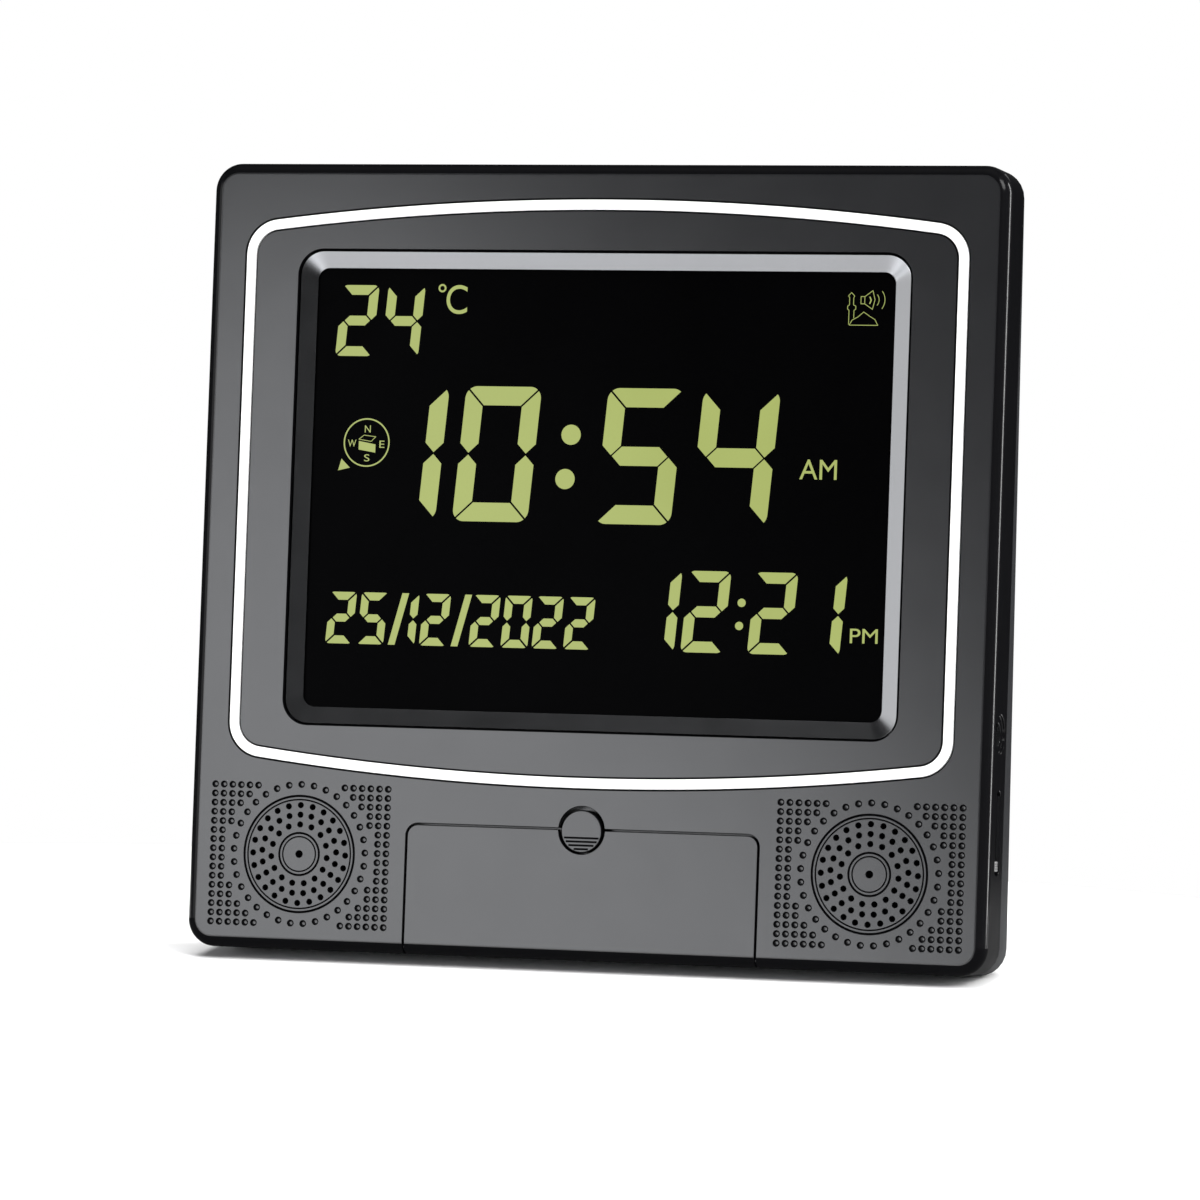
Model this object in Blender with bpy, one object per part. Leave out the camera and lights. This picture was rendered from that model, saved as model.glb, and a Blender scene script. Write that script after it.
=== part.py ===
"""An azan clock that leans back on a table: two casing shells, a bowed trim ring, a framed
liquid crystal display, two loudspeakers behind grilles, a flap over the setting keys, a push
button, a volume slider, a battery bay and a fold-out stand.

The clock is drawn upright: X to the right, Y into the clock from its face, Z up from its
underside. An empty then leans it back and puts it on the table, centred on the origin.
"""
import math

import bmesh
import bpy
from mathutils import Matrix, Vector

MM = 0.001

# Clearances
FIT_GAP = 0.3 * MM
OVERCUT = 1.0 * MM

# How it stands
LEAN_ANGLE = math.radians(9.0)
STAND_SPLAY = math.radians(7.0)

# Casing
CASE_WIDTH = 248.0 * MM
CASE_HEIGHT = 236.5 * MM
CASE_CORNER_RADIUS = 8.3 * MM
FACE_EDGE_RADIUS = 3.6 * MM
FRONT_DEPTH = 16.5 * MM
FRONT_WALL = 2.5 * MM
REAR_DEPTH_TOP = 21.8 * MM
REAR_DEPTH_BOTTOM = 30.9 * MM
REAR_EDGE_RADIUS = 5.0 * MM
REAR_WALL = 2.2 * MM

# White trim ring in its groove round the display
RING_SIDE_MARGIN = 11.4 * MM
RING_TOP_MARGIN = 10.35 * MM
RING_BOTTOM_HEIGHT = 50.6 * MM
RING_WIDTH = 3.8 * MM
RING_CORNER_RADIUS = 11.0 * MM
RING_BOW_RADIUS = 825.0 * MM
RING_PROUD = 0.2 * MM
GROOVE_DEPTH = 1.5 * MM

# Display opening, bezel, window and panel
DISPLAY_SIDE_MARGIN = 28.6 * MM
DISPLAY_TOP_MARGIN = 26.0 * MM
DISPLAY_BOTTOM_HEIGHT = 67.4 * MM
DISPLAY_CORNER_RADIUS = 7.8 * MM
BEZEL_GAP = 0.6 * MM
BEZEL_RECESS = 0.8 * MM
BEZEL_WIDTH = 4.95 * MM
BEZEL_DROP = 1.6 * MM
BEZEL_LIP = 0.6 * MM
BEZEL_FLANGE = 3.6 * MM
WINDOW_CORNER_RADIUS = 3.6 * MM
WINDOW_REBATE = 2.3 * MM
WINDOW_THICKNESS = 1.5 * MM
PANEL_OVERLAP = 1.0 * MM
PANEL_THICKNESS = 2.2 * MM
GUIDE_THICKNESS = 2.5 * MM
CONTACT_ZONE = 6.0 * MM
ZEBRA_HEIGHT = 3.0 * MM
ZEBRA_LENGTH_SHARE = 0.82
CARRIER_RIB_THICKNESS = 1.5 * MM

# Main circuit board, its parts and screws
BOARD_THICKNESS = 1.6 * MM
MAIN_BOARD_HEIGHT_SHARE = 0.73
MAIN_BOARD_INSET = 1.5 * MM
BOARD_SCREW_SHANK_RADIUS = 1.0 * MM
BOARD_SCREW_HEAD_RADIUS = 2.0 * MM
BOARD_SCREW_HEAD_HEIGHT = 1.2 * MM
BOARD_SCREW_BITE = 3.5 * MM
CHIP_THICKNESS = 1.6 * MM
CHIP_SIZE = 18.0 * MM

# Flap over the setting keys
DOOR_WIDTH_SHARE = 0.4383
DOOR_TOP_HEIGHT = 38.6 * MM
DOOR_GAP = 0.5 * MM
DOOR_CORNER_RADIUS = 3.3 * MM
DOOR_THICKNESS = 2.2 * MM
DOOR_LIP = 0.45 * MM
POCKET_DEPTH = 6.4 * MM
POCKET_WALL = 1.5 * MM
DOOR_PIN_RADIUS = 1.1 * MM
DOOR_LUG_RADIUS = 1.7 * MM
DOOR_LUG_LENGTH = 5.0 * MM
DOOR_PIN_REACH = 1.2 * MM

# Push button and its spring
BUTTON_RADIUS = 6.3 * MM
BUTTON_RIM_GAP = 0.8 * MM
BUTTON_DROP = 0.35 * MM
BUTTON_CAP_THICKNESS = 3.4 * MM
BUTTON_STEM_RADIUS = 2.2 * MM
BUTTON_CLIP_RADIUS = 3.2 * MM
BUTTON_CLIP_THICKNESS = 1.0 * MM
BUTTON_BOSS_WALL = 1.5 * MM
BUTTON_GUIDE_LENGTH = 2.0 * MM
SPRING_WIRE_RADIUS = 0.25 * MM
SPRING_COIL_RADIUS = 3.6 * MM
SPRING_TURNS = 3

# Setting keys
KEY_WIDTH_SHARE = 0.114
KEY_HEIGHT = 6.0 * MM
KEY_PROUD = 1.0 * MM
KEY_FLANGE = 0.8 * MM
KEY_FLANGE_OVERHANG = 0.9 * MM
KEY_PITCH_X_SHARE = 0.175
KEY_PITCH_Z = 12.5 * MM
KEY_BLOCK_X_SHARE = -0.21
KEY_BLOCK_Z = 18.5 * MM
KEY_COLUMNS = 3
KEY_ROWS = 2
KEY_TRAVEL = 0.8 * MM
DOME_RADIUS = 2.2 * MM
DOME_HEIGHT = 1.0 * MM
DOME_SHEET_THICKNESS = 0.5 * MM
KEY_BOARD_THICKNESS = 1.2 * MM
KEY_POST_RADIUS = 2.0 * MM

# Loudspeakers and their grilles
SPEAKER_X_SHARE = 0.3565
SPEAKER_HEIGHT = 28.6 * MM
SPEAKER_RADIUS_SHARE = 0.0726
SPEAKER_FLANGE_THICKNESS = 1.2 * MM
SPEAKER_BASKET_DEPTH = 7.0 * MM
SPEAKER_SHEET = 0.9 * MM
SPEAKER_FLANGE_WIDTH = 2.6 * MM
MAGNET_RADIUS_SHARE = 0.61
MAGNET_THICKNESS = 6.0 * MM
CONE_NECK_RADIUS_SHARE = 0.28
CONE_CAP_RADIUS = 2.5 * MM
CONE_CAP_RISE = 2.0 * MM
CLOTH_THICKNESS = 0.4 * MM
SPEAKER_POST_RADIUS = 2.4 * MM
SPEAKER_SCREW_COUNT = 2
GRILLE_HOLE_RADIUS = 0.8 * MM
GRILLE_CENTRE_RADIUS = 1.03 * MM
GRILLE_RING_SHARES = (0.4926, 0.6548, 0.8142)
GRILLE_RING_COUNTS = (15, 21, 24)

# Power socket on the right side
JACK_HEIGHT = 70.7 * MM
JACK_DEPTH = 9.35 * MM
JACK_HOLE_RADIUS = 3.35 * MM
JACK_DISH_RADIUS = 5.75 * MM
JACK_DISH_DEPTH = 0.8 * MM
JACK_BODY_SIZE = 9.4 * MM
JACK_BODY_LENGTH = 12.0 * MM
JACK_BORE_DEPTH = 10.0 * MM
JACK_PIN_RADIUS = 1.0 * MM
JACK_PIN_LENGTH = 4.5 * MM

# Volume slider on the right side
SLIDER_LOW = 29.4 * MM
SLIDER_LENGTH = 24.8 * MM
SLIDER_DEPTH = 10.2 * MM
SLIDER_DISH_LOW_WIDTH = 5.6 * MM
SLIDER_DISH_HIGH_WIDTH = 4.4 * MM
SLIDER_DISH_DEPTH = 1.2 * MM
SLIDER_SLOT_WIDTH = 2.0 * MM
SLIDER_KNOB_WIDTH = 3.4 * MM
SLIDER_KNOB_LENGTH = 3.0 * MM
SLIDER_KNOB_HEIGHT = 0.8 * MM
SLIDER_END_MARGIN = 1.0 * MM
SLIDER_TRACK_DEPTH = 2.0 * MM
SLIDER_BODY_DEPTH = 5.0 * MM
SLIDER_BODY_WIDTH = 7.0 * MM

# Battery bay, cells and cover in the rear shell
CELL_RADIUS = 7.25 * MM
CELL_LENGTH = 49.5 * MM
CELL_BEVEL = 0.4 * MM
CELL_NUB_RADIUS = 2.75 * MM
CELL_NUB_LENGTH = 1.0 * MM
CELL_COUNT = 3
BAY_BOTTOM = 6.6 * MM
BAY_WALL = 1.0 * MM
BAY_LEDGE = 1.2 * MM
CELL_SPRING_LENGTH = 5.0 * MM
CELL_SPRING_RADIUS = 3.0 * MM
CELL_SPRING_WIRE_RADIUS = 0.35 * MM
CELL_SPRING_TURNS = 3
CELL_PLATE_THICKNESS = 0.5 * MM
CELL_PLATE_SIZE = 9.0 * MM
COVER_THICKNESS = 1.6 * MM

# Fold-out stand
STAND_HINGE_HEIGHT_SHARE = 0.634
STAND_THICKNESS = 5.0 * MM
STAND_RECESS_WALL = 1.8 * MM
STAND_PIN_RADIUS = 1.0 * MM
STAND_PAD_THICKNESS = 1.5 * MM
STAND_TOE_SHARE = 0.73

# Casing screws
CASE_SCREW_INSET = 10.0 * MM
CASE_BOSS_RADIUS = 3.5 * MM
CASE_BOSS_DEPTH = 12.0 * MM
CASE_SCREW_SHANK_RADIUS = 1.4 * MM
CASE_SCREW_HEAD_RADIUS = 2.8 * MM
CASE_SCREW_HEAD_HEIGHT = 2.0 * MM
CASE_SCREW_BITE = 6.0 * MM
CASE_POST_FLOOR = 2.2 * MM

# Keyholes for hanging the clock on a wall
KEYHOLE_SPREAD = 150.0 * MM
KEYHOLE_TOP_MARGIN = 34.0 * MM
KEYHOLE_RADIUS = 4.5 * MM
KEYHOLE_SLOT_WIDTH = 4.4 * MM
KEYHOLE_SLOT_LENGTH = 9.0 * MM

# Fineness of round shapes
CORNER_STEPS = 6
ROLL_STEPS = 3
BOW_STEPS = 8
WIRE_SIDES = 4
HOLE_SIDES = 6
SMALL_SIDES = 10
ROUND_SIDES = 20
LARGE_SIDES = 24
SMOOTH_ANGLE = math.radians(32.0)

# Sizes that follow from the values above
HALF_WIDTH = CASE_WIDTH / 2
REAR_SLOPE = (REAR_DEPTH_BOTTOM - REAR_DEPTH_TOP) / CASE_HEIGHT
RING_HALF_WIDTH = HALF_WIDTH - RING_SIDE_MARGIN
DISPLAY_HALF_WIDTH = HALF_WIDTH - DISPLAY_SIDE_MARGIN
DISPLAY_TOP = CASE_HEIGHT - DISPLAY_TOP_MARGIN
BEZEL_INNER_DEPTH = BEZEL_RECESS + BEZEL_DROP
LIP_BACK = BEZEL_INNER_DEPTH + BEZEL_LIP
WINDOW_FRONT = LIP_BACK + FIT_GAP
BEZEL_BACK = WINDOW_FRONT + WINDOW_THICKNESS
PANEL_FRONT = BEZEL_BACK + FIT_GAP
PANEL_BACK = PANEL_FRONT + PANEL_THICKNESS
GUIDE_FRONT = PANEL_BACK + FIT_GAP
GUIDE_BACK = GUIDE_FRONT + GUIDE_THICKNESS
BOARD_FRONT = GUIDE_BACK + FIT_GAP
BOARD_BACK = BOARD_FRONT + BOARD_THICKNESS
SPEAKER_X = SPEAKER_X_SHARE * CASE_WIDTH
SPEAKER_RADIUS = SPEAKER_RADIUS_SHARE * CASE_WIDTH
MAGNET_RADIUS = MAGNET_RADIUS_SHARE * SPEAKER_RADIUS
CONE_NECK_RADIUS = CONE_NECK_RADIUS_SHARE * SPEAKER_RADIUS
DOOR_WIDTH = DOOR_WIDTH_SHARE * CASE_WIDTH
KEY_WIDTH = KEY_WIDTH_SHARE * DOOR_WIDTH
KEY_PITCH_X = KEY_PITCH_X_SHARE * DOOR_WIDTH
KEY_BLOCK_X = KEY_BLOCK_X_SHARE * DOOR_WIDTH
STAND_HINGE_HEIGHT = STAND_HINGE_HEIGHT_SHARE * CASE_HEIGHT
POCKET_HALF_WIDTH = DOOR_WIDTH / 2 + DOOR_GAP
POCKET_TOP = DOOR_TOP_HEIGHT + DOOR_GAP
BUTTON_HOLE_RADIUS = BUTTON_RADIUS + BUTTON_RIM_GAP
BUTTON_HOLE_HEIGHT = DOOR_TOP_HEIGHT
BOSS_BACK = POCKET_DEPTH + BUTTON_GUIDE_LENGTH
CELL_PITCH = 2 * CELL_RADIUS + FIT_GAP
BAY_WIDTH = CELL_COUNT * CELL_PITCH + FIT_GAP
BAY_OUTER_X = SPEAKER_X - SPEAKER_RADIUS - 2 * FIT_GAP
BAY_HIGH_X = BAY_OUTER_X - BAY_WALL - BAY_LEDGE
BAY_LOW_X = BAY_HIGH_X - BAY_WIDTH
BAY_HEIGHT = CELL_LENGTH + CELL_NUB_LENGTH + CELL_SPRING_LENGTH + 2 * CELL_PLATE_THICKNESS + 4 * FIT_GAP
BAY_LOW = BAY_BOTTOM + BAY_LEDGE
BAY_HIGH = BAY_LOW + BAY_HEIGHT
BAY_EDGE = BAY_LEDGE + BAY_WALL
STAND_HALF_WIDTH = BAY_LOW_X - BAY_EDGE - STAND_RECESS_WALL - 2 * FIT_GAP
STAND_RECESS_DEPTH = STAND_THICKNESS + 2 * FIT_GAP
CASE_SCREW_X = HALF_WIDTH - CASE_SCREW_INSET
KEY_BOARD_MARGIN = KEY_FLANGE_OVERHANG + 2 * KEY_POST_RADIUS + 2 * FIT_GAP


def rear_depth(height):
    """Depth of the sloping rear face at a height."""
    return REAR_DEPTH_BOTTOM - REAR_SLOPE * height


# Materials: base colour, roughness, metallic
FINISHES = {
    "case_plastic": ((0.040, 0.042, 0.046), 0.42, 0.0),
    "rear_plastic": ((0.022, 0.023, 0.025), 0.50, 0.0),
    "trim_white": ((0.85, 0.85, 0.84), 0.25, 0.0),
    "bezel_satin": ((0.10, 0.105, 0.115), 0.30, 0.6),
    "window_black": ((0.004, 0.004, 0.005), 0.06, 0.0),
    "panel_glass": ((0.02, 0.022, 0.02), 0.10, 0.0),
    "guide_clear": ((0.70, 0.78, 0.55), 0.20, 0.0),
    "carrier_white": ((0.60, 0.60, 0.58), 0.50, 0.0),
    "board_green": ((0.02, 0.12, 0.05), 0.45, 0.0),
    "chip_black": ((0.01, 0.01, 0.012), 0.40, 0.0),
    "screw_steel": ((0.50, 0.50, 0.52), 0.30, 1.0),
    "key_grey": ((0.25, 0.26, 0.27), 0.55, 0.0),
    "paper_cone": ((0.015, 0.015, 0.016), 0.80, 0.0),
    "magnet_grey": ((0.08, 0.08, 0.085), 0.55, 0.3),
    "cloth_black": ((0.008, 0.008, 0.008), 0.95, 0.0),
    "rubber_black": ((0.012, 0.012, 0.012), 0.75, 0.0),
    "rubber_grey": ((0.16, 0.16, 0.16), 0.70, 0.0),
    "knob_pale": ((0.55, 0.55, 0.54), 0.45, 0.0),
    "contact_nickel": ((0.62, 0.60, 0.56), 0.25, 1.0),
    "cell_wrap": ((0.10, 0.11, 0.12), 0.30, 0.4),
}


def clear_scene():
    for item in list(bpy.data.objects):
        bpy.data.objects.remove(item, do_unlink=True)


def make_materials():
    made = {}
    for name, (colour, roughness, metallic) in FINISHES.items():
        material = bpy.data.materials.new(name)
        material.use_nodes = True
        shader = material.node_tree.nodes["Principled BSDF"]
        shader.inputs["Base Color"].default_value = (*colour, 1.0)
        shader.inputs["Roughness"].default_value = roughness
        shader.inputs["Metallic"].default_value = metallic
        material.diffuse_color = (*colour, 1.0)
        made[name] = material
    return made


# Outlines in the plane of the face, as lists of (x, z) points that run anticlockwise

def arc(centre_x, centre_z, radius, start, stop, steps):
    points = []
    for step in range(steps + 1):
        angle = start + (stop - start) * step / steps
        points.append((centre_x + radius * math.cos(angle), centre_z + radius * math.sin(angle)))
    return points


def rounded_outline(half_width, low, high, radius, middle=0.0):
    """A rectangle with four round corners, about x = middle."""
    right = middle + half_width - radius
    left = middle - half_width + radius
    quarter = math.pi / 2
    points = arc(right, low + radius, radius, -quarter, 0, CORNER_STEPS)
    points += arc(right, high - radius, radius, 0, quarter, CORNER_STEPS)
    points += arc(left, high - radius, radius, quarter, math.pi, CORNER_STEPS)
    points += arc(left, low + radius, radius, -math.pi, -quarter, CORNER_STEPS)
    return points


def bowed_outline(half_width, low, high, radius, bow):
    """A rounded rectangle whose top and bottom edges swell out on arcs of radius bow."""
    corner_x = half_width - radius
    rise = math.sqrt((bow - radius) ** 2 - corner_x ** 2)
    lean = math.atan2(rise, corner_x)
    top_centre = high - bow
    upper = arc(corner_x, top_centre + rise, radius, 0, lean, CORNER_STEPS)
    upper += arc(0, top_centre, bow, lean, math.pi - lean, BOW_STEPS)[1:-1]
    upper += arc(-corner_x, top_centre + rise, radius, math.pi - lean, math.pi, CORNER_STEPS)
    return upper + [(-x, low + high - z) for x, z in upper]


def door_outline(half_width, low, high, radius):
    """A rectangle with square lower corners and round upper ones."""
    quarter = math.pi / 2
    points = [(-half_width, low), (half_width, low)]
    points += arc(half_width - radius, high - radius, radius, 0, quarter, CORNER_STEPS)
    points += arc(radius - half_width, high - radius, radius, quarter, math.pi, CORNER_STEPS)
    return points


def at_depth(outline, depth):
    """Put an outline at one depth, or at a depth that depends on height."""
    if callable(depth):
        return [(x, depth(z), z) for x, z in outline]
    return [(x, depth, z) for x, z in outline]


# Solids

def mesh_object(name, build):
    """Make an object from a bmesh that build() fills, with its faces turned outwards."""
    shape = bmesh.new()
    build(shape)
    bmesh.ops.recalc_face_normals(shape, faces=shape.faces)
    mesh = bpy.data.meshes.new(name)
    shape.to_mesh(mesh)
    shape.free()
    made = bpy.data.objects.new(name, mesh)
    bpy.context.scene.collection.objects.link(made)
    return made


def skin(shape, rings, closed):
    """Join rings of equal length; cap both ends, or run the last ring into the first."""
    rows = [[shape.verts.new(point) for point in ring] for ring in rings]
    pairs = list(zip(rows, rows[1:]))
    if closed:
        pairs.append((rows[-1], rows[0]))
    else:
        shape.faces.new(list(reversed(rows[0])))
        shape.faces.new(rows[-1])
    for first, second in pairs:
        for index in range(len(first)):
            following = (index + 1) % len(first)
            shape.faces.new((first[index], first[following], second[following], second[index]))


def loft(name, rings, closed=False):
    return mesh_object(name, lambda shape: skin(shape, rings, closed))


def plate(name, outline, front, back):
    """An outline carried straight back from one depth to another."""
    return loft(name, [at_depth(outline, front), at_depth(outline, back)])


def frame_solid(name, outer, inner, front, back):
    """A frame between two outlines that have the same number of points."""
    corners = ((outer, front), (outer, back), (inner, back), (inner, front))
    return loft(name, [at_depth(outline, depth) for outline, depth in corners], closed=True)


def box(name, low, high):
    """A block between two opposite corners."""
    outline = [(low[0], low[2]), (high[0], low[2]), (high[0], high[2]), (low[0], high[2])]
    return plate(name, outline, low[1], high[1])


def side_prism(name, profile, low_x, high_x):
    """A profile of (y, z) points carried across the clock from one x to another."""
    return loft(name, [[(x, y, z) for y, z in profile] for x in (low_x, high_x)])


def turned(name, profile, sides):
    """A profile of (radius, depth) points turned about the Y axis; radius 0 marks a flat end."""
    rings = []
    for radius, depth in profile:
        if radius == 0:
            continue
        ring = []
        for side in range(sides):
            angle = 2 * math.pi * (side + 0.5) / sides
            ring.append((radius * math.cos(angle), depth, radius * math.sin(angle)))
        rings.append(ring)
    return loft(name, rings, closed=profile[0][0] > 0)


def rod(name, radius, front, back, sides, x=0.0, z=0.0):
    """A round bar along the depth of the clock."""
    made = turned(name, [(0, front), (radius, front), (radius, back), (0, back)], sides)
    made.data.transform(Matrix.Translation((x, 0, z)))
    return made


def cross_rod(name, radius, low_x, high_x, sides, y=0.0, z=0.0):
    """A round bar across the clock."""
    made = turned(name, [(0, low_x), (radius, low_x), (radius, high_x), (0, high_x)], sides)
    made.data.transform(Matrix.Rotation(-math.pi / 2, 4, "Z"))
    made.data.transform(Matrix.Translation((0, y, z)))
    return made


def coil(name, coil_radius, wire_radius, length, turns):
    """A round wire wound about the Y axis, from y = 0 to y = length over the wire."""
    steps = turns * SMALL_SIDES
    rings = []
    for step in range(steps + 1):
        angle = 2 * math.pi * step / SMALL_SIDES
        depth = wire_radius + (length - 2 * wire_radius) * step / steps
        outward = Vector((math.cos(angle), 0, math.sin(angle)))
        ring = []
        for side in range(WIRE_SIDES):
            turn = 2 * math.pi * side / WIRE_SIDES
            reach = coil_radius + wire_radius * math.cos(turn)
            ring.append(outward * reach + Vector((0, depth + wire_radius * math.sin(turn), 0)))
        rings.append(ring)
    return loft(name, rings)


def merge(name, parts):
    """Put separate bodies into one object, each still its own solid."""
    shape = bmesh.new()
    for part in parts:
        part.data.transform(part.matrix_basis)
        shape.from_mesh(part.data)
        bpy.data.objects.remove(part, do_unlink=True)
    mesh = bpy.data.meshes.new(name)
    shape.to_mesh(mesh)
    shape.free()
    made = bpy.data.objects.new(name, mesh)
    bpy.context.scene.collection.objects.link(made)
    return made


def combine(target, tool, operation):
    modifier = target.modifiers.new(operation.lower(), "BOOLEAN")
    modifier.object = tool
    modifier.operation = operation
    modifier.solver = "EXACT"
    graph = bpy.context.evaluated_depsgraph_get()
    result = bpy.data.meshes.new_from_object(target.evaluated_get(graph))
    target.modifiers.clear()
    target.data = result
    bpy.data.objects.remove(tool, do_unlink=True)


def add(target, *tools):
    for tool in tools:
        combine(target, tool, "UNION")


def cut(target, *tools):
    for tool in tools:
        combine(target, tool, "DIFFERENCE")


# Front shell

def case_outline(inset):
    return rounded_outline(HALF_WIDTH - inset, inset, CASE_HEIGHT - inset, CASE_CORNER_RADIUS - inset)


def edge_roll(radius):
    """Insets and depths of a rounded edge, from the flat face out to the side wall."""
    for step in range(ROLL_STEPS + 1):
        angle = math.pi / 2 * step / ROLL_STEPS
        yield radius * (1 - math.sin(angle)), radius * (1 - math.cos(angle))


def ring_outline(inset):
    return bowed_outline(
        RING_HALF_WIDTH - inset,
        RING_BOTTOM_HEIGHT + inset,
        CASE_HEIGHT - RING_TOP_MARGIN - inset,
        RING_CORNER_RADIUS - inset,
        RING_BOW_RADIUS - inset,
    )


def display_outline(inset, radius):
    return rounded_outline(
        DISPLAY_HALF_WIDTH - inset, DISPLAY_BOTTOM_HEIGHT + inset, DISPLAY_TOP - inset, radius)


def case_screw_places():
    low = CASE_SCREW_INSET
    high = CASE_HEIGHT - CASE_SCREW_INSET
    return [(side * CASE_SCREW_X, z) for side in (-1, 1) for z in (low, high)]


def speaker_screw_places(side):
    reach = SPEAKER_RADIUS + FIT_GAP + SPEAKER_POST_RADIUS
    for index in range(SPEAKER_SCREW_COUNT):
        angle = side * math.pi / 4 + 2 * math.pi * index / SPEAKER_SCREW_COUNT
        yield side * SPEAKER_X + reach * math.cos(angle), SPEAKER_HEIGHT + reach * math.sin(angle)


def grille_holes(side):
    """The through holes of one grille: a centre hole and three rings."""
    centre = side * SPEAKER_X
    yield centre, SPEAKER_HEIGHT, GRILLE_CENTRE_RADIUS
    for share, count in zip(GRILLE_RING_SHARES, GRILLE_RING_COUNTS):
        radius = share * SPEAKER_RADIUS
        for index in range(count):
            angle = math.pi / 2 + 2 * math.pi * index / count
            yield centre + radius * math.cos(angle), SPEAKER_HEIGHT + radius * math.sin(angle), \
                GRILLE_HOLE_RADIUS


def speaker_post_back():
    """Depth at which the speaker posts end, level with the back of the speaker flange."""
    return FRONT_WALL + speaker_front() + SPEAKER_FLANGE_THICKNESS


def key_places():
    for row in range(KEY_ROWS):
        for column in range(KEY_COLUMNS):
            x = KEY_BLOCK_X + (column - (KEY_COLUMNS - 1) / 2) * KEY_PITCH_X
            z = KEY_BLOCK_Z + ((KEY_ROWS - 1) / 2 - row) * KEY_PITCH_Z
            yield x, z


def key_board_bounds():
    half_x = ((KEY_COLUMNS - 1) * KEY_PITCH_X + KEY_WIDTH) / 2 + KEY_BOARD_MARGIN
    half_z = ((KEY_ROWS - 1) * KEY_PITCH_Z + KEY_HEIGHT) / 2 + KEY_BOARD_MARGIN
    return KEY_BLOCK_X - half_x, KEY_BLOCK_X + half_x, KEY_BLOCK_Z - half_z, KEY_BLOCK_Z + half_z


def key_board_front():
    flange_back = POCKET_DEPTH + POCKET_WALL + FIT_GAP + KEY_FLANGE
    return flange_back + KEY_TRAVEL + DOME_HEIGHT + DOME_SHEET_THICKNESS + 2 * FIT_GAP


def key_post_places():
    low_x, high_x, low_z, high_z = key_board_bounds()
    for x in (low_x + KEY_POST_RADIUS, high_x - KEY_POST_RADIUS):
        for z in (low_z + KEY_POST_RADIUS, high_z - KEY_POST_RADIUS):
            yield x, z


def front_shell():
    rings = [at_depth(case_outline(inset), depth) for inset, depth in edge_roll(FACE_EDGE_RADIUS)]
    rings.append(at_depth(case_outline(0), FRONT_DEPTH))
    rings.append(at_depth(case_outline(FRONT_WALL), FRONT_DEPTH))
    rings.append(at_depth(case_outline(FRONT_WALL), FRONT_WALL))
    shell = loft("front_housing", rings)
    start = FRONT_WALL / 2
    block = POCKET_HALF_WIDTH + POCKET_WALL
    floor_back = POCKET_DEPTH + POCKET_WALL
    add(shell, box("pocket", (-block, start, start), (block, floor_back, POCKET_TOP + POCKET_WALL)))
    boss_radius = BUTTON_HOLE_RADIUS + BUTTON_BOSS_WALL
    add(shell, rod("boss", boss_radius, start, BOSS_BACK, ROUND_SIDES, z=BUTTON_HOLE_HEIGHT))
    rib_inset = BEZEL_GAP - BEZEL_FLANGE - FIT_GAP
    rib_radius = DISPLAY_CORNER_RADIUS - rib_inset
    rib_back = GUIDE_BACK - FIT_GAP
    outer = display_outline(rib_inset - CARRIER_RIB_THICKNESS, rib_radius + CARRIER_RIB_THICKNESS)
    inner = display_outline(rib_inset, rib_radius)
    add(shell, frame_solid("rib", outer, inner, start, rib_back))
    for x, z in case_screw_places():
        add(shell, rod("case_boss", CASE_BOSS_RADIUS, start, CASE_BOSS_DEPTH, SMALL_SIDES, x, z))
    posts = []
    post_back = speaker_post_back()
    for side in (-1, 1):
        for x, z in speaker_screw_places(side):
            posts.append(rod("post", SPEAKER_POST_RADIUS, start, post_back, SMALL_SIDES, x, z))
    add(shell, merge("speaker_posts", posts))
    posts = []
    post_back = key_board_front() - FIT_GAP
    for x, z in key_post_places():
        posts.append(rod("post", KEY_POST_RADIUS, POCKET_DEPTH, post_back, SMALL_SIDES, x, z))
    add(shell, merge("key_posts", posts))
    cut_front_shell(shell)
    return shell


def door_sweep():
    """Depth at which the bottom wall starts, clear of the lip of the opening flap."""
    lip_end = FACE_EDGE_RADIUS + DOOR_LIP
    return DOOR_THICKNESS + math.hypot(lip_end - DOOR_THICKNESS, DOOR_THICKNESS) + FIT_GAP


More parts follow.
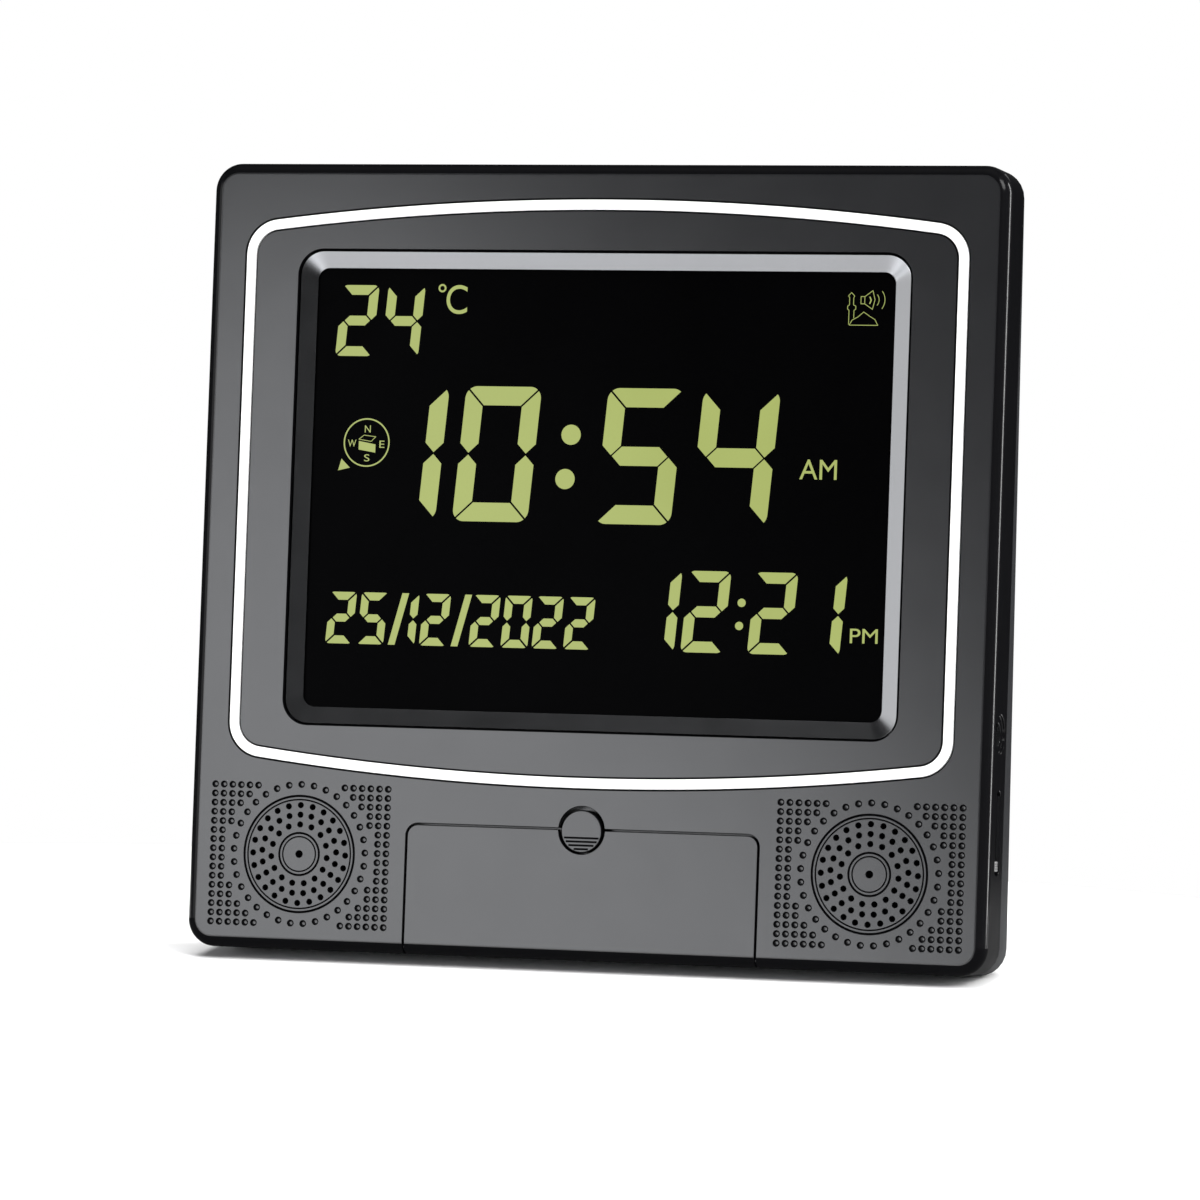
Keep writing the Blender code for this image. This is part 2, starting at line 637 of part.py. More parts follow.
def cut_front_shell(shell):
    block = POCKET_HALF_WIDTH + POCKET_WALL
    cavity = door_outline(POCKET_HALF_WIDTH, FRONT_WALL, POCKET_TOP, DOOR_CORNER_RADIUS + DOOR_GAP)
    cut(shell, plate("cavity", cavity, -OVERCUT, POCKET_DEPTH))
    gate_top = FRONT_WALL + DOOR_THICKNESS
    gate_back = door_sweep()
    low = (-POCKET_HALF_WIDTH, -OVERCUT, -OVERCUT)
    cut(shell, box("gate", low, (POCKET_HALF_WIDTH, gate_back, gate_top)))
    cut(shell, rod("hole", BUTTON_HOLE_RADIUS, -OVERCUT, POCKET_DEPTH, ROUND_SIDES, z=BUTTON_HOLE_HEIGHT))
    stem_height = BUTTON_HOLE_HEIGHT - BUTTON_DROP
    cut(shell, rod("guide", BUTTON_STEM_RADIUS + FIT_GAP, POCKET_DEPTH - OVERCUT, BOSS_BACK + OVERCUT,
                   SMALL_SIDES, z=stem_height))
    cut(shell, plate("opening", display_outline(0, DISPLAY_CORNER_RADIUS), -OVERCUT, FRONT_WALL + OVERCUT))
    cut(shell, frame_solid("groove", ring_outline(0), ring_outline(RING_WIDTH), -OVERCUT, GROOVE_DEPTH))
    holes = []
    for side in (-1, 1):
        for x, z, radius in grille_holes(side):
            holes.append(rod("hole", radius, -OVERCUT, FRONT_WALL + OVERCUT, HOLE_SIDES, x, z))
    cut(shell, merge("grille", holes))
    pins = []
    axis = DOOR_THICKNESS
    for side in (-1, 1):
        ends = sorted((side * (POCKET_HALF_WIDTH - OVERCUT), side * (block + OVERCUT)))
        pins.append(cross_rod("pin", DOOR_PIN_RADIUS + FIT_GAP, *ends, SMALL_SIDES, axis, axis))
    cut(shell, merge("pin_holes", pins))
    keys = []
    half_x = KEY_WIDTH / 2 + FIT_GAP
    half_z = KEY_HEIGHT / 2 + FIT_GAP
    for x, z in key_places():
        keys.append(box("key", (x - half_x, POCKET_DEPTH - OVERCUT, z - half_z),
                        (x + half_x, POCKET_DEPTH + POCKET_WALL + OVERCUT, z + half_z)))
    cut(shell, merge("key_holes", keys))
    bores = []
    tip = CASE_BOSS_DEPTH - CASE_SCREW_BITE - FIT_GAP
    for x, z in case_screw_places():
        bores.append(rod("bore", CASE_SCREW_SHANK_RADIUS + FIT_GAP, tip, CASE_BOSS_DEPTH + OVERCUT,
                         SMALL_SIDES, x, z))
    post_back = speaker_post_back()
    for side in (-1, 1):
        for x, z in speaker_screw_places(side):
            bores.append(rod("bore", BOARD_SCREW_SHANK_RADIUS + FIT_GAP, FRONT_WALL, post_back + OVERCUT,
                             SMALL_SIDES, x, z))
    cut(shell, merge("bores", bores))
    cut_side_controls(shell)


def cut_side_controls(shell):
    """The socket hole in its dish and the slot of the volume slider, in the right wall."""
    inner = HALF_WIDTH - FRONT_WALL - OVERCUT
    outer = HALF_WIDTH + OVERCUT
    cut(shell, cross_rod("socket", JACK_HOLE_RADIUS, inner, outer, ROUND_SIDES, JACK_DEPTH, JACK_HEIGHT))
    cut(shell, cross_rod("dish", JACK_DISH_RADIUS, HALF_WIDTH - JACK_DISH_DEPTH, outer, ROUND_SIDES,
                         JACK_DEPTH, JACK_HEIGHT))
    low = SLIDER_LOW
    high = SLIDER_LOW + SLIDER_LENGTH
    wide = SLIDER_DISH_LOW_WIDTH / 2
    narrow = SLIDER_DISH_HIGH_WIDTH / 2
    profile = [(SLIDER_DEPTH - wide, low), (SLIDER_DEPTH + wide, low),
               (SLIDER_DEPTH + narrow, high), (SLIDER_DEPTH - narrow, high)]
    cut(shell, side_prism("slider_dish", profile, HALF_WIDTH - SLIDER_DISH_DEPTH, outer))
    half_slot = SLIDER_SLOT_WIDTH / 2
    cut(shell, box("slot", (inner, SLIDER_DEPTH - half_slot, low + SLIDER_END_MARGIN),
                   (outer, SLIDER_DEPTH + half_slot, high - SLIDER_END_MARGIN)))


# Rear shell

def rear_case_outline(inset):
    radius = max(CASE_CORNER_RADIUS - inset, FIT_GAP)
    return rounded_outline(HALF_WIDTH - inset, inset, CASE_HEIGHT - inset, radius)


def rear_surface(offset):
    """Depth of the rear face moved inwards by offset, as a function of height."""
    return lambda height: rear_depth(height) - offset


def rear_shell():
    rim = FRONT_DEPTH + FIT_GAP
    inner_radius = REAR_EDGE_RADIUS - REAR_WALL
    rings = []
    for inset, depth in edge_roll(inner_radius):
        rings.append(at_depth(rear_case_outline(REAR_WALL + inset), rear_surface(REAR_WALL + depth)))
    rings.append(at_depth(rear_case_outline(REAR_WALL), rim))
    rings.append(at_depth(rear_case_outline(0), rim))
    for inset, depth in reversed(list(edge_roll(REAR_EDGE_RADIUS))):
        rings.append(at_depth(rear_case_outline(inset), rear_surface(depth)))
    shell = loft("rear_housing", rings)
    inside = REAR_WALL / 2
    add_stand_recess(shell, inside)
    add_battery_bay(shell, inside)
    add_screw_posts(shell, inside)
    cut_keyholes(shell)
    return shell


def rear_prism(name, low_x, high_x, low_z, high_z, front, back_offset):
    """A block whose back lies along the rear face, back_offset inside it."""
    surface = rear_surface(back_offset)
    front_low = front(low_z) if callable(front) else front
    front_high = front(high_z) if callable(front) else front
    profile = [(front_low, low_z), (surface(low_z), low_z), (surface(high_z), high_z), (front_high, high_z)]
    return side_prism(name, profile, low_x, high_x)


def stand_hinge_place():
    return rear_depth(STAND_HINGE_HEIGHT) - FIT_GAP - STAND_THICKNESS / 2, STAND_HINGE_HEIGHT


def add_stand_recess(shell, inside):
    half = STAND_HALF_WIDTH + FIT_GAP
    top = STAND_HINGE_HEIGHT + STAND_THICKNESS / 2 + FIT_GAP
    floor = rear_surface(STAND_RECESS_DEPTH + STAND_RECESS_WALL)
    outer = half + STAND_RECESS_WALL
    add(shell, rear_prism("recess_wall", -outer, outer, inside, top + STAND_RECESS_WALL, floor, inside))
    cut(shell, rear_prism("recess", -half, half, -OVERCUT, top, rear_surface(STAND_RECESS_DEPTH), -OVERCUT))
    y, z = stand_hinge_place()
    reach = half + STAND_RECESS_WALL / 2
    cut(shell, cross_rod("pin_hole", STAND_PIN_RADIUS + FIT_GAP, -reach, reach, SMALL_SIDES, y, z))


def bay_front():
    """Depth of the inner front face of the battery bay."""
    return rear_depth(BAY_HIGH) - COVER_THICKNESS - 2 * FIT_GAP - 2 * CELL_RADIUS - FIT_GAP


def add_battery_bay(shell, inside):
    """The tub round the cells, the step that the cover seats on and the slots for its tabs."""
    front = bay_front()
    edge = BAY_EDGE
    add(shell, rear_prism("tub", BAY_LOW_X - edge, BAY_HIGH_X + edge, BAY_LOW - edge, BAY_HIGH + edge,
                          front - BAY_WALL, inside))
    cut(shell, rear_prism("bay", BAY_LOW_X, BAY_HIGH_X, BAY_LOW, BAY_HIGH, front, -OVERCUT))
    seat = BAY_LEDGE
    cut(shell, rear_prism("seat", BAY_LOW_X - seat, BAY_HIGH_X + seat, BAY_LOW - seat, BAY_HIGH + seat,
                          rear_surface(COVER_THICKNESS + FIT_GAP), -OVERCUT))


def add_screw_posts(shell, inside):
    bottom = CASE_BOSS_DEPTH + FIT_GAP
    for x, z in case_screw_places():
        post = rod("post", CASE_BOSS_RADIUS + CASE_SCREW_SHANK_RADIUS, bottom, rear_depth(z) - inside,
                   SMALL_SIDES, x, z)
        add(shell, post)
    wells = []
    shafts = []
    for x, z in case_screw_places():
        wells.append(rod("well", CASE_SCREW_HEAD_RADIUS + FIT_GAP, bottom + CASE_POST_FLOOR,
                         rear_depth(z) + OVERCUT, SMALL_SIDES, x, z))
        shafts.append(rod("shaft", CASE_SCREW_SHANK_RADIUS + FIT_GAP, bottom - OVERCUT,
                          bottom + CASE_POST_FLOOR + OVERCUT, SMALL_SIDES, x, z))
    cut(shell, merge("wells", wells), merge("shafts", shafts))


def keyhole_height():
    return CASE_HEIGHT - KEYHOLE_TOP_MARGIN


def cut_keyholes(shell):
    height = keyhole_height()
    front = rear_depth(height) - REAR_WALL - OVERCUT
    back = rear_depth(height) + OVERCUT
    holes = []
    slots = []
    half_slot = KEYHOLE_SLOT_WIDTH / 2
    top = height + KEYHOLE_SLOT_LENGTH
    for side in (-1, 1):
        x = side * KEYHOLE_SPREAD / 2
        holes.append(rod("hole", KEYHOLE_RADIUS, front, back, ROUND_SIDES, x, height))
        slots.append(box("slot", (x - half_slot, front, height), (x + half_slot, back, top)))
    cut(shell, merge("holes", holes), merge("slots", slots))


# Display stack

def trim_ring():
    outer = ring_outline(FIT_GAP)
    inner = ring_outline(RING_WIDTH - FIT_GAP)
    back = GROOVE_DEPTH - FIT_GAP
    return frame_solid("trim_ring", outer, inner, -RING_PROUD, back)


def display_bezel():
    """A frame with a face that slopes down to the window, a rebate for it and a rear flange."""
    outer = BEZEL_GAP
    inner = BEZEL_GAP + BEZEL_WIDTH
    flange = BEZEL_GAP - BEZEL_FLANGE
    outer_radius = DISPLAY_CORNER_RADIUS - BEZEL_GAP
    rebate_radius = WINDOW_CORNER_RADIUS + WINDOW_REBATE
    flange_radius = outer_radius + BEZEL_FLANGE
    flange_front = FRONT_WALL + FIT_GAP
    profile = [
        (outer, outer_radius, BEZEL_RECESS),
        (inner, WINDOW_CORNER_RADIUS, BEZEL_INNER_DEPTH),
        (inner, WINDOW_CORNER_RADIUS, LIP_BACK),
        (inner - WINDOW_REBATE, rebate_radius, LIP_BACK),
        (inner - WINDOW_REBATE, rebate_radius, BEZEL_BACK),
        (flange, flange_radius, BEZEL_BACK),
        (flange, flange_radius, flange_front),
        (outer, outer_radius, flange_front),
    ]
    rings = [at_depth(display_outline(inset, radius), depth) for inset, radius, depth in profile]
    return loft("display_bezel", rings, closed=True)


def window_inset():
    return BEZEL_GAP + BEZEL_WIDTH


def display_window():
    inset = window_inset() - WINDOW_REBATE + FIT_GAP
    radius = WINDOW_CORNER_RADIUS + WINDOW_REBATE - FIT_GAP
    return plate("display_window", display_outline(inset, radius), WINDOW_FRONT, BEZEL_BACK)


def panel_bounds():
    inset = window_inset() - PANEL_OVERLAP
    half = DISPLAY_HALF_WIDTH - inset
    return half, DISPLAY_BOTTOM_HEIGHT + inset, DISPLAY_TOP - inset


def lcd_panel():
    half, low, high = panel_bounds()
    return box("lcd_panel", (-half, PANEL_FRONT, low), (half, PANEL_BACK, high))


def light_guide():
    half, low, high = panel_bounds()
    return box("light_guide", (-half, GUIDE_FRONT, low + CONTACT_ZONE), (half, GUIDE_BACK, high))


def zebra_strip():
    """The soft strip that carries the current from the circuit board to the panel."""
    half, low, high = panel_bounds()
    reach = ZEBRA_LENGTH_SHARE * half
    middle = low + CONTACT_ZONE / 2
    return box("zebra_strip", (-reach, GUIDE_FRONT, middle - ZEBRA_HEIGHT / 2),
               (reach, GUIDE_BACK, middle + ZEBRA_HEIGHT / 2))


def lcd_carrier():
    """The frame behind the bezel that holds the panel and the light guide."""
    half, low, high = panel_bounds()
    outer = display_outline(BEZEL_GAP - BEZEL_FLANGE, DISPLAY_CORNER_RADIUS - BEZEL_GAP + BEZEL_FLANGE)
    inner = rounded_outline(half + FIT_GAP, low - FIT_GAP, high + FIT_GAP, FIT_GAP)
    carrier = frame_solid("lcd_carrier", outer, inner, PANEL_FRONT, GUIDE_BACK)
    bores = []
    for x, z in board_screw_places():
        bores.append(rod("bore", BOARD_SCREW_SHANK_RADIUS + FIT_GAP, GUIDE_BACK - BOARD_SCREW_BITE,
                         GUIDE_BACK + OVERCUT, SMALL_SIDES, x, z))
    cut(carrier, merge("bores", bores))
    return carrier


def main_board_bounds():
    half, low, high = panel_bounds()
    reach = (DISPLAY_HALF_WIDTH - BEZEL_GAP + BEZEL_FLANGE) - MAIN_BOARD_INSET
    bottom = max(low - BOARD_SCREW_HEAD_RADIUS, BAY_HIGH + BAY_EDGE + 2 * FIT_GAP)
    return reach, bottom, bottom + MAIN_BOARD_HEIGHT_SHARE * (DISPLAY_TOP - DISPLAY_BOTTOM_HEIGHT)


def board_screw_places():
    half, low, high = panel_bounds()
    reach, bottom, top = main_board_bounds()
    x = (half + FIT_GAP + DISPLAY_HALF_WIDTH - BEZEL_GAP + BEZEL_FLANGE) / 2
    inset = 2 * BOARD_SCREW_HEAD_RADIUS
    return [(side * x, z) for side in (-1, 1) for z in (bottom + inset, top - inset)]


def main_board():
    reach, bottom, top = main_board_bounds()
    board = box("main_board", (-reach, BOARD_FRONT, bottom), (reach, BOARD_BACK, top))
    holes = []
    for x, z in board_screw_places():
        holes.append(rod("hole", BOARD_SCREW_SHANK_RADIUS + FIT_GAP, BOARD_FRONT - OVERCUT,
                         BOARD_BACK + OVERCUT, SMALL_SIDES, x, z))
    cut(board, merge("holes", holes))
    return board


# Places of the two chips on the main board, as shares of its half width and of its height
CHIP_SHARES = ((-0.45, 0.60), (0.40, 0.70))


def chip_places():
    reach, bottom, top = main_board_bounds()
    for share_x, share_z in CHIP_SHARES:
        yield share_x * reach, BOARD_BACK + FIT_GAP, bottom + share_z * (top - bottom)


def chip_shape(name):
    half = CHIP_SIZE / 2
    return box(name, (-half, 0, -half), (half, CHIP_THICKNESS, half))


def screw_shape(name, shank_radius, head_radius, head_height, shank_length):
    """A pan-head screw about the seat of its head, with its shank to the front."""
    profile = [(0, -shank_length), (shank_radius, -shank_length), (shank_radius, 0), (head_radius, 0),
               (head_radius, head_height), (0, head_height)]
    return turned(name, profile, SMALL_SIDES)


def board_screw_shape(name):
    length = BOARD_SCREW_BITE + BOARD_THICKNESS + FIT_GAP
    head = BOARD_SCREW_HEAD_RADIUS
    return screw_shape(name, BOARD_SCREW_SHANK_RADIUS, head, BOARD_SCREW_HEAD_HEIGHT, length)


def speaker_screw_shape(name):
    head = SPEAKER_POST_RADIUS + 3 * FIT_GAP
    length = SPEAKER_FLANGE_THICKNESS + CLOTH_THICKNESS + FIT_GAP
    return screw_shape(name, BOARD_SCREW_SHANK_RADIUS, head, BOARD_SCREW_HEAD_HEIGHT, length)


def case_screw_shape(name):
    length = CASE_SCREW_BITE + CASE_POST_FLOOR + FIT_GAP
    return screw_shape(name, CASE_SCREW_SHANK_RADIUS, CASE_SCREW_HEAD_RADIUS, CASE_SCREW_HEAD_HEIGHT, length)


# Flap, push button and keys

def front_door():
    """The flap: its face, the lip that rolls under the clock, its hinge lugs and its pins."""
    thickness = DOOR_THICKNESS
    radius = FACE_EDGE_RADIUS
    quarter = math.pi / 2
    roll = arc(radius, radius, radius, -math.pi, -quarter, ROLL_STEPS)
    lip_end = radius + DOOR_LIP
    profile = [(0, DOOR_TOP_HEIGHT)] + roll + [(lip_end, 0), (lip_end, thickness), (thickness, thickness),
                                               (thickness, DOOR_TOP_HEIGHT)]
    half = DOOR_WIDTH / 2
    door = side_prism("front_door", profile, -half, half)
    for side in (-1, 1):
        ends = sorted((side * (half - DOOR_LUG_LENGTH), side * (half - FIT_GAP)))
        add(door, cross_rod("lug", DOOR_LUG_RADIUS, *ends, SMALL_SIDES, thickness, thickness))
        ends = sorted((side * (half - DOOR_LUG_LENGTH / 2), side * (POCKET_HALF_WIDTH + DOOR_PIN_REACH)))
        add(door, cross_rod("pin", DOOR_PIN_RADIUS, *ends, SMALL_SIDES, thickness, thickness))
    cut_door_corners(door)
    back = thickness + OVERCUT
    cut(door, rod("hole", BUTTON_HOLE_RADIUS, -OVERCUT, back, ROUND_SIDES, z=BUTTON_HOLE_HEIGHT))
    return door


def cut_door_corners(door):
    """Round the two upper corners of the flap."""
    quarter = math.pi / 2
    reach = POCKET_HALF_WIDTH + POCKET_WALL
    bottom = DOOR_TOP_HEIGHT - DOOR_CORNER_RADIUS
    top = DOOR_TOP_HEIGHT + OVERCUT
    corners = []
    for side in (-1, 1):
        inner = side * (DOOR_WIDTH / 2 - DOOR_CORNER_RADIUS)
        outline = arc(inner, bottom, DOOR_CORNER_RADIUS, quarter, quarter - side * quarter, CORNER_STEPS)
        outline += [(side * reach, bottom), (side * reach, top), (inner, top)]
        corners.append(plate("corner", outline, -OVERCUT, DOOR_THICKNESS + OVERCUT))
    cut(door, merge("corners", corners))


def latch_button():
    clip_front = BOSS_BACK + FIT_GAP
    clip_back = clip_front + BUTTON_CLIP_THICKNESS
    bevel = FIT_GAP
    profile = [(0, 0), (BUTTON_RADIUS - bevel, 0), (BUTTON_RADIUS, bevel),
               (BUTTON_RADIUS, BUTTON_CAP_THICKNESS), (BUTTON_STEM_RADIUS, BUTTON_CAP_THICKNESS),
               (BUTTON_STEM_RADIUS, clip_front), (BUTTON_CLIP_RADIUS, clip_front),
               (BUTTON_STEM_RADIUS, clip_back), (0, clip_back)]
    return turned("latch_button", profile, ROUND_SIDES)


def latch_spring():
    length = POCKET_DEPTH - BUTTON_CAP_THICKNESS - 2 * FIT_GAP
    return coil("latch_spring", SPRING_COIL_RADIUS, SPRING_WIRE_RADIUS, length, SPRING_TURNS)


def key_shape(name):
    """A key about its own centre: a cap that reaches through the floor and a flange behind it."""
    half_x = KEY_WIDTH / 2
    half_z = KEY_HEIGHT / 2
    flange = KEY_FLANGE_OVERHANG
    flange_front = POCKET_WALL + FIT_GAP
    key = box(name, (-half_x, -KEY_PROUD, -half_z), (half_x, flange_front + KEY_FLANGE / 2, half_z))
    add(key, box("flange", (-half_x - flange, flange_front, -half_z - flange),
                 (half_x + flange, flange_front + KEY_FLANGE, half_z + flange)))
    return key


def key_board():
    low_x, high_x, low_z, high_z = key_board_bounds()
    front = key_board_front()
    board = box("key_board", (low_x, front, low_z), (high_x, front + KEY_BOARD_THICKNESS, high_z))
    return board


def dome_sheet():
    """The sheet with one springy dome behind each key."""
    low_x, high_x, low_z, high_z = key_board_bounds()
    inset = 2 * KEY_POST_RADIUS
    back = key_board_front() - FIT_GAP
    front = back - DOME_SHEET_THICKNESS
    sheet = box("dome_sheet", (low_x + inset, front, low_z + inset), (high_x - inset, back, high_z - inset))
    domes = []
    for x, z in key_places():
        domes.append(rod("dome", DOME_RADIUS, front - DOME_HEIGHT, back - DOME_SHEET_THICKNESS / 2,
                         SMALL_SIDES, x, z))
    add(sheet, merge("domes", domes))
    return sheet


# Loudspeakers, each drawn about its own axis with the inner face of the front wall at y = 0

def speaker_front():
    return CLOTH_THICKNESS + 2 * FIT_GAP


def speaker_cloth(name):
    back = FIT_GAP + CLOTH_THICKNESS
    profile = [(0, FIT_GAP), (SPEAKER_RADIUS, FIT_GAP), (SPEAKER_RADIUS, back), (0, back)]
    return turned(name, profile, LARGE_SIDES)


def speaker_frame(name):
    """A stamped basket: flange, sloping wall and back plate with a hole for the coil."""
    front = speaker_front()
    inner = SPEAKER_RADIUS - SPEAKER_FLANGE_WIDTH
    floor = front + SPEAKER_BASKET_DEPTH
    neck = CONE_NECK_RADIUS + 2 * FIT_GAP
    profile = [(SPEAKER_RADIUS, front), (SPEAKER_RADIUS, front + SPEAKER_FLANGE_THICKNESS),
               (inner + SPEAKER_SHEET, front + SPEAKER_FLANGE_THICKNESS), (MAGNET_RADIUS, floor),
               (neck, floor), (neck, floor - SPEAKER_SHEET),
               (MAGNET_RADIUS - SPEAKER_SHEET, floor - SPEAKER_SHEET), (inner, front)]
    return turned(name, profile, LARGE_SIDES)


def speaker_cone(name):
    """Paper cone with a dust cap in its neck, seated just inside the basket."""
    front = speaker_front() + FIT_GAP
    rim = SPEAKER_RADIUS - SPEAKER_FLANGE_WIDTH - 4 * FIT_GAP
    neck_depth = front + SPEAKER_BASKET_DEPTH - 2 * SPEAKER_SHEET - FIT_GAP
    paper = SPEAKER_SHEET / 2
    profile = [(0, neck_depth - CONE_CAP_RISE), (CONE_CAP_RADIUS, neck_depth - CONE_CAP_RISE),
               (CONE_NECK_RADIUS, neck_depth - paper), (rim, front),
               (rim, front + paper), (CONE_NECK_RADIUS, neck_depth), (0, neck_depth)]
    return turned(name, profile, LARGE_SIDES)


def speaker_magnet(name):
    front = speaker_front() + SPEAKER_BASKET_DEPTH + FIT_GAP
    bevel = SPEAKER_SHEET
    profile = [(0, front), (MAGNET_RADIUS, front), (MAGNET_RADIUS, front + MAGNET_THICKNESS - bevel),
               (MAGNET_RADIUS - bevel, front + MAGNET_THICKNESS), (0, front + MAGNET_THICKNESS)]
    return turned(name, profile, ROUND_SIDES)


# Power socket and volume slider

def dc_jack():
    face = HALF_WIDTH - FRONT_WALL - FIT_GAP
    half = JACK_BODY_SIZE / 2
    body = box("dc_jack", (face - JACK_BODY_LENGTH, JACK_DEPTH - half, JACK_HEIGHT - half),
               (face, JACK_DEPTH + half, JACK_HEIGHT + half))
    cut(body, cross_rod("bore", JACK_HOLE_RADIUS, face - JACK_BORE_DEPTH, face + OVERCUT, ROUND_SIDES,
                        JACK_DEPTH, JACK_HEIGHT))
    return body


def jack_pin():
    floor = HALF_WIDTH - FRONT_WALL - FIT_GAP - JACK_BORE_DEPTH + FIT_GAP
    return cross_rod("jack_pin", JACK_PIN_RADIUS, floor, floor + JACK_PIN_LENGTH, SMALL_SIDES,
                     JACK_DEPTH, JACK_HEIGHT)


def slider_rest_height():
    return SLIDER_LOW + SLIDER_END_MARGIN + SLIDER_KNOB_LENGTH / 2 + FIT_GAP


def volume_slider():
    """A knob in the dish, with a neck through the slot into the track of the potentiometer."""
    dish_floor = HALF_WIDTH - SLIDER_DISH_DEPTH
    knob_foot = dish_floor + FIT_GAP
    half_y = SLIDER_KNOB_WIDTH / 2
    half_z = SLIDER_KNOB_LENGTH / 2
    neck = SLIDER_SLOT_WIDTH / 2 - FIT_GAP
    knob_top = knob_foot + SLIDER_KNOB_HEIGHT
    knob = box("volume_slider", (knob_foot, -half_y, -half_z), (knob_top, half_y, half_z))
    track_mouth = HALF_WIDTH - FRONT_WALL - FIT_GAP
    add(knob, box("neck", (track_mouth - SLIDER_TRACK_DEPTH, -neck, -half_z + neck),
                  (knob_top - SLIDER_KNOB_HEIGHT / 2, neck, half_z - neck)))
    return knob


def volume_pot():
    face = HALF_WIDTH - FRONT_WALL - FIT_GAP
    half = SLIDER_BODY_WIDTH / 2
    track = SLIDER_SLOT_WIDTH / 2
    low = SLIDER_LOW
    high = SLIDER_LOW + SLIDER_LENGTH
    body = box("volume_pot", (face - SLIDER_BODY_DEPTH, SLIDER_DEPTH - half, low),
               (face, SLIDER_DEPTH + half, high))
    track_floor = face - SLIDER_TRACK_DEPTH - FIT_GAP
    cut(body, box("track", (track_floor, SLIDER_DEPTH - track, low + SLIDER_END_MARGIN),
                  (face + OVERCUT, SLIDER_DEPTH + track, high - SLIDER_END_MARGIN)))
    return body


# Batteries

def cell_places():
    """Centre and direction of each cell; neighbours point opposite ways."""
    y = bay_front() + FIT_GAP + CELL_RADIUS
    for index in range(CELL_COUNT):
        x = BAY_LOW_X + FIT_GAP + CELL_RADIUS + index * CELL_PITCH
        yield x, y, 1 if index % 2 == 0 else -1


def cell_ends():
    """Heights of a cell's flat end and of its nub, in a cell that points up."""
    low = BAY_LOW + CELL_PLATE_THICKNESS + CELL_SPRING_LENGTH + 2 * FIT_GAP
    return low, low + CELL_LENGTH


def cell_shape(name):
    """A cell about its own middle, its nub towards +Y until it is stood on end."""
    half = CELL_LENGTH / 2
    nub = half + CELL_NUB_LENGTH
    edge = CELL_RADIUS - CELL_BEVEL
    profile = [(0, -half), (edge, -half), (CELL_RADIUS, -half + CELL_BEVEL),
               (CELL_RADIUS, half - CELL_BEVEL), (edge, half), (CELL_NUB_RADIUS, half),
               (CELL_NUB_RADIUS, nub), (0, nub)]
    return turned(name, profile, ROUND_SIDES)


def bay_middle():
    low, high = cell_ends()
    return BAY_LOW + BAY_HIGH - (low + high) / 2, (low + high) / 2


# Contact plates: at the top or not, first and last cell that they touch, cell that gets a spring
CONTACT_PLANS = (
    (False, 0, 0, 0),
    (False, 1, 2, 2),
    (True, 0, 1, 1),
    (True, 2, 2, None),
)


def battery_contact(name, at_top, first, last, sprung):
    """A plate at the end of one or two cells; its coil presses on the flat end of one of them."""
    half = CELL_PLATE_SIZE / 2
    places = list(cell_places())
    y = places[0][1]
    low_x = places[first][0] - half
    high_x = places[last][0] + half
    low = BAY_HIGH - FIT_GAP - CELL_PLATE_THICKNESS if at_top else BAY_LOW + FIT_GAP
    contact = box(name, (low_x, y - half, low), (high_x, y + half, low + CELL_PLATE_THICKNESS))
    if sprung is None:
        return contact
    reach = CELL_PLATE_THICKNESS / 2 + CELL_SPRING_LENGTH
    spring = coil("spring", CELL_SPRING_RADIUS, CELL_SPRING_WIRE_RADIUS, reach, CELL_SPRING_TURNS)
    turn = -math.pi / 2 if at_top else math.pi / 2
    spring.data.transform(Matrix.Rotation(turn, 4, "X"))
    spring.data.transform(Matrix.Translation((places[sprung][0], y, low + CELL_PLATE_THICKNESS / 2)))
    add(contact, spring)
    return contact


def cover_hinge_place():
    """The edge that the cover turns about: its outer face, on the side towards the loudspeaker."""
    x = BAY_HIGH_X + BAY_LEDGE - FIT_GAP
    z = (BAY_LOW + BAY_HIGH) / 2
    return x, rear_depth(z), z


def battery_cover():
    """The cover, drawn where it lies."""
    seat = BAY_LEDGE - FIT_GAP
    return rear_prism("battery_cover", BAY_LOW_X - seat, BAY_HIGH_X + seat, BAY_LOW - seat, BAY_HIGH + seat,
                      rear_surface(COVER_THICKNESS), 0)


# Stand

def table_height():
    """World height of the table, with the clock's lower front corner at the world's origin."""
    lowest = 0.0
    for inset, depth in edge_roll(REAR_EDGE_RADIUS):
        y = rear_depth(inset) - depth
        lowest = min(lowest, inset * math.cos(LEAN_ANGLE) - y * math.sin(LEAN_ANGLE))
    return lowest


def stand_reach(y, foot):
    """Distance down the leg, from its hinge, at which depth y of it meets a level above the table."""
    hinge_y, hinge_z = stand_hinge_place()
    hinge_height = hinge_z * math.cos(LEAN_ANGLE) - hinge_y * math.sin(LEAN_ANGLE) - table_height()
    return (hinge_height - foot + y * math.sin(STAND_SPLAY)) / math.cos(STAND_SPLAY)


def leg_outline(foot):
    """Four corners of the leg's end, wide at the hinge and narrower at the toe."""
    half = STAND_THICKNESS / 2
    return [(y, -stand_reach(y, foot)) for y in (-half, half)]


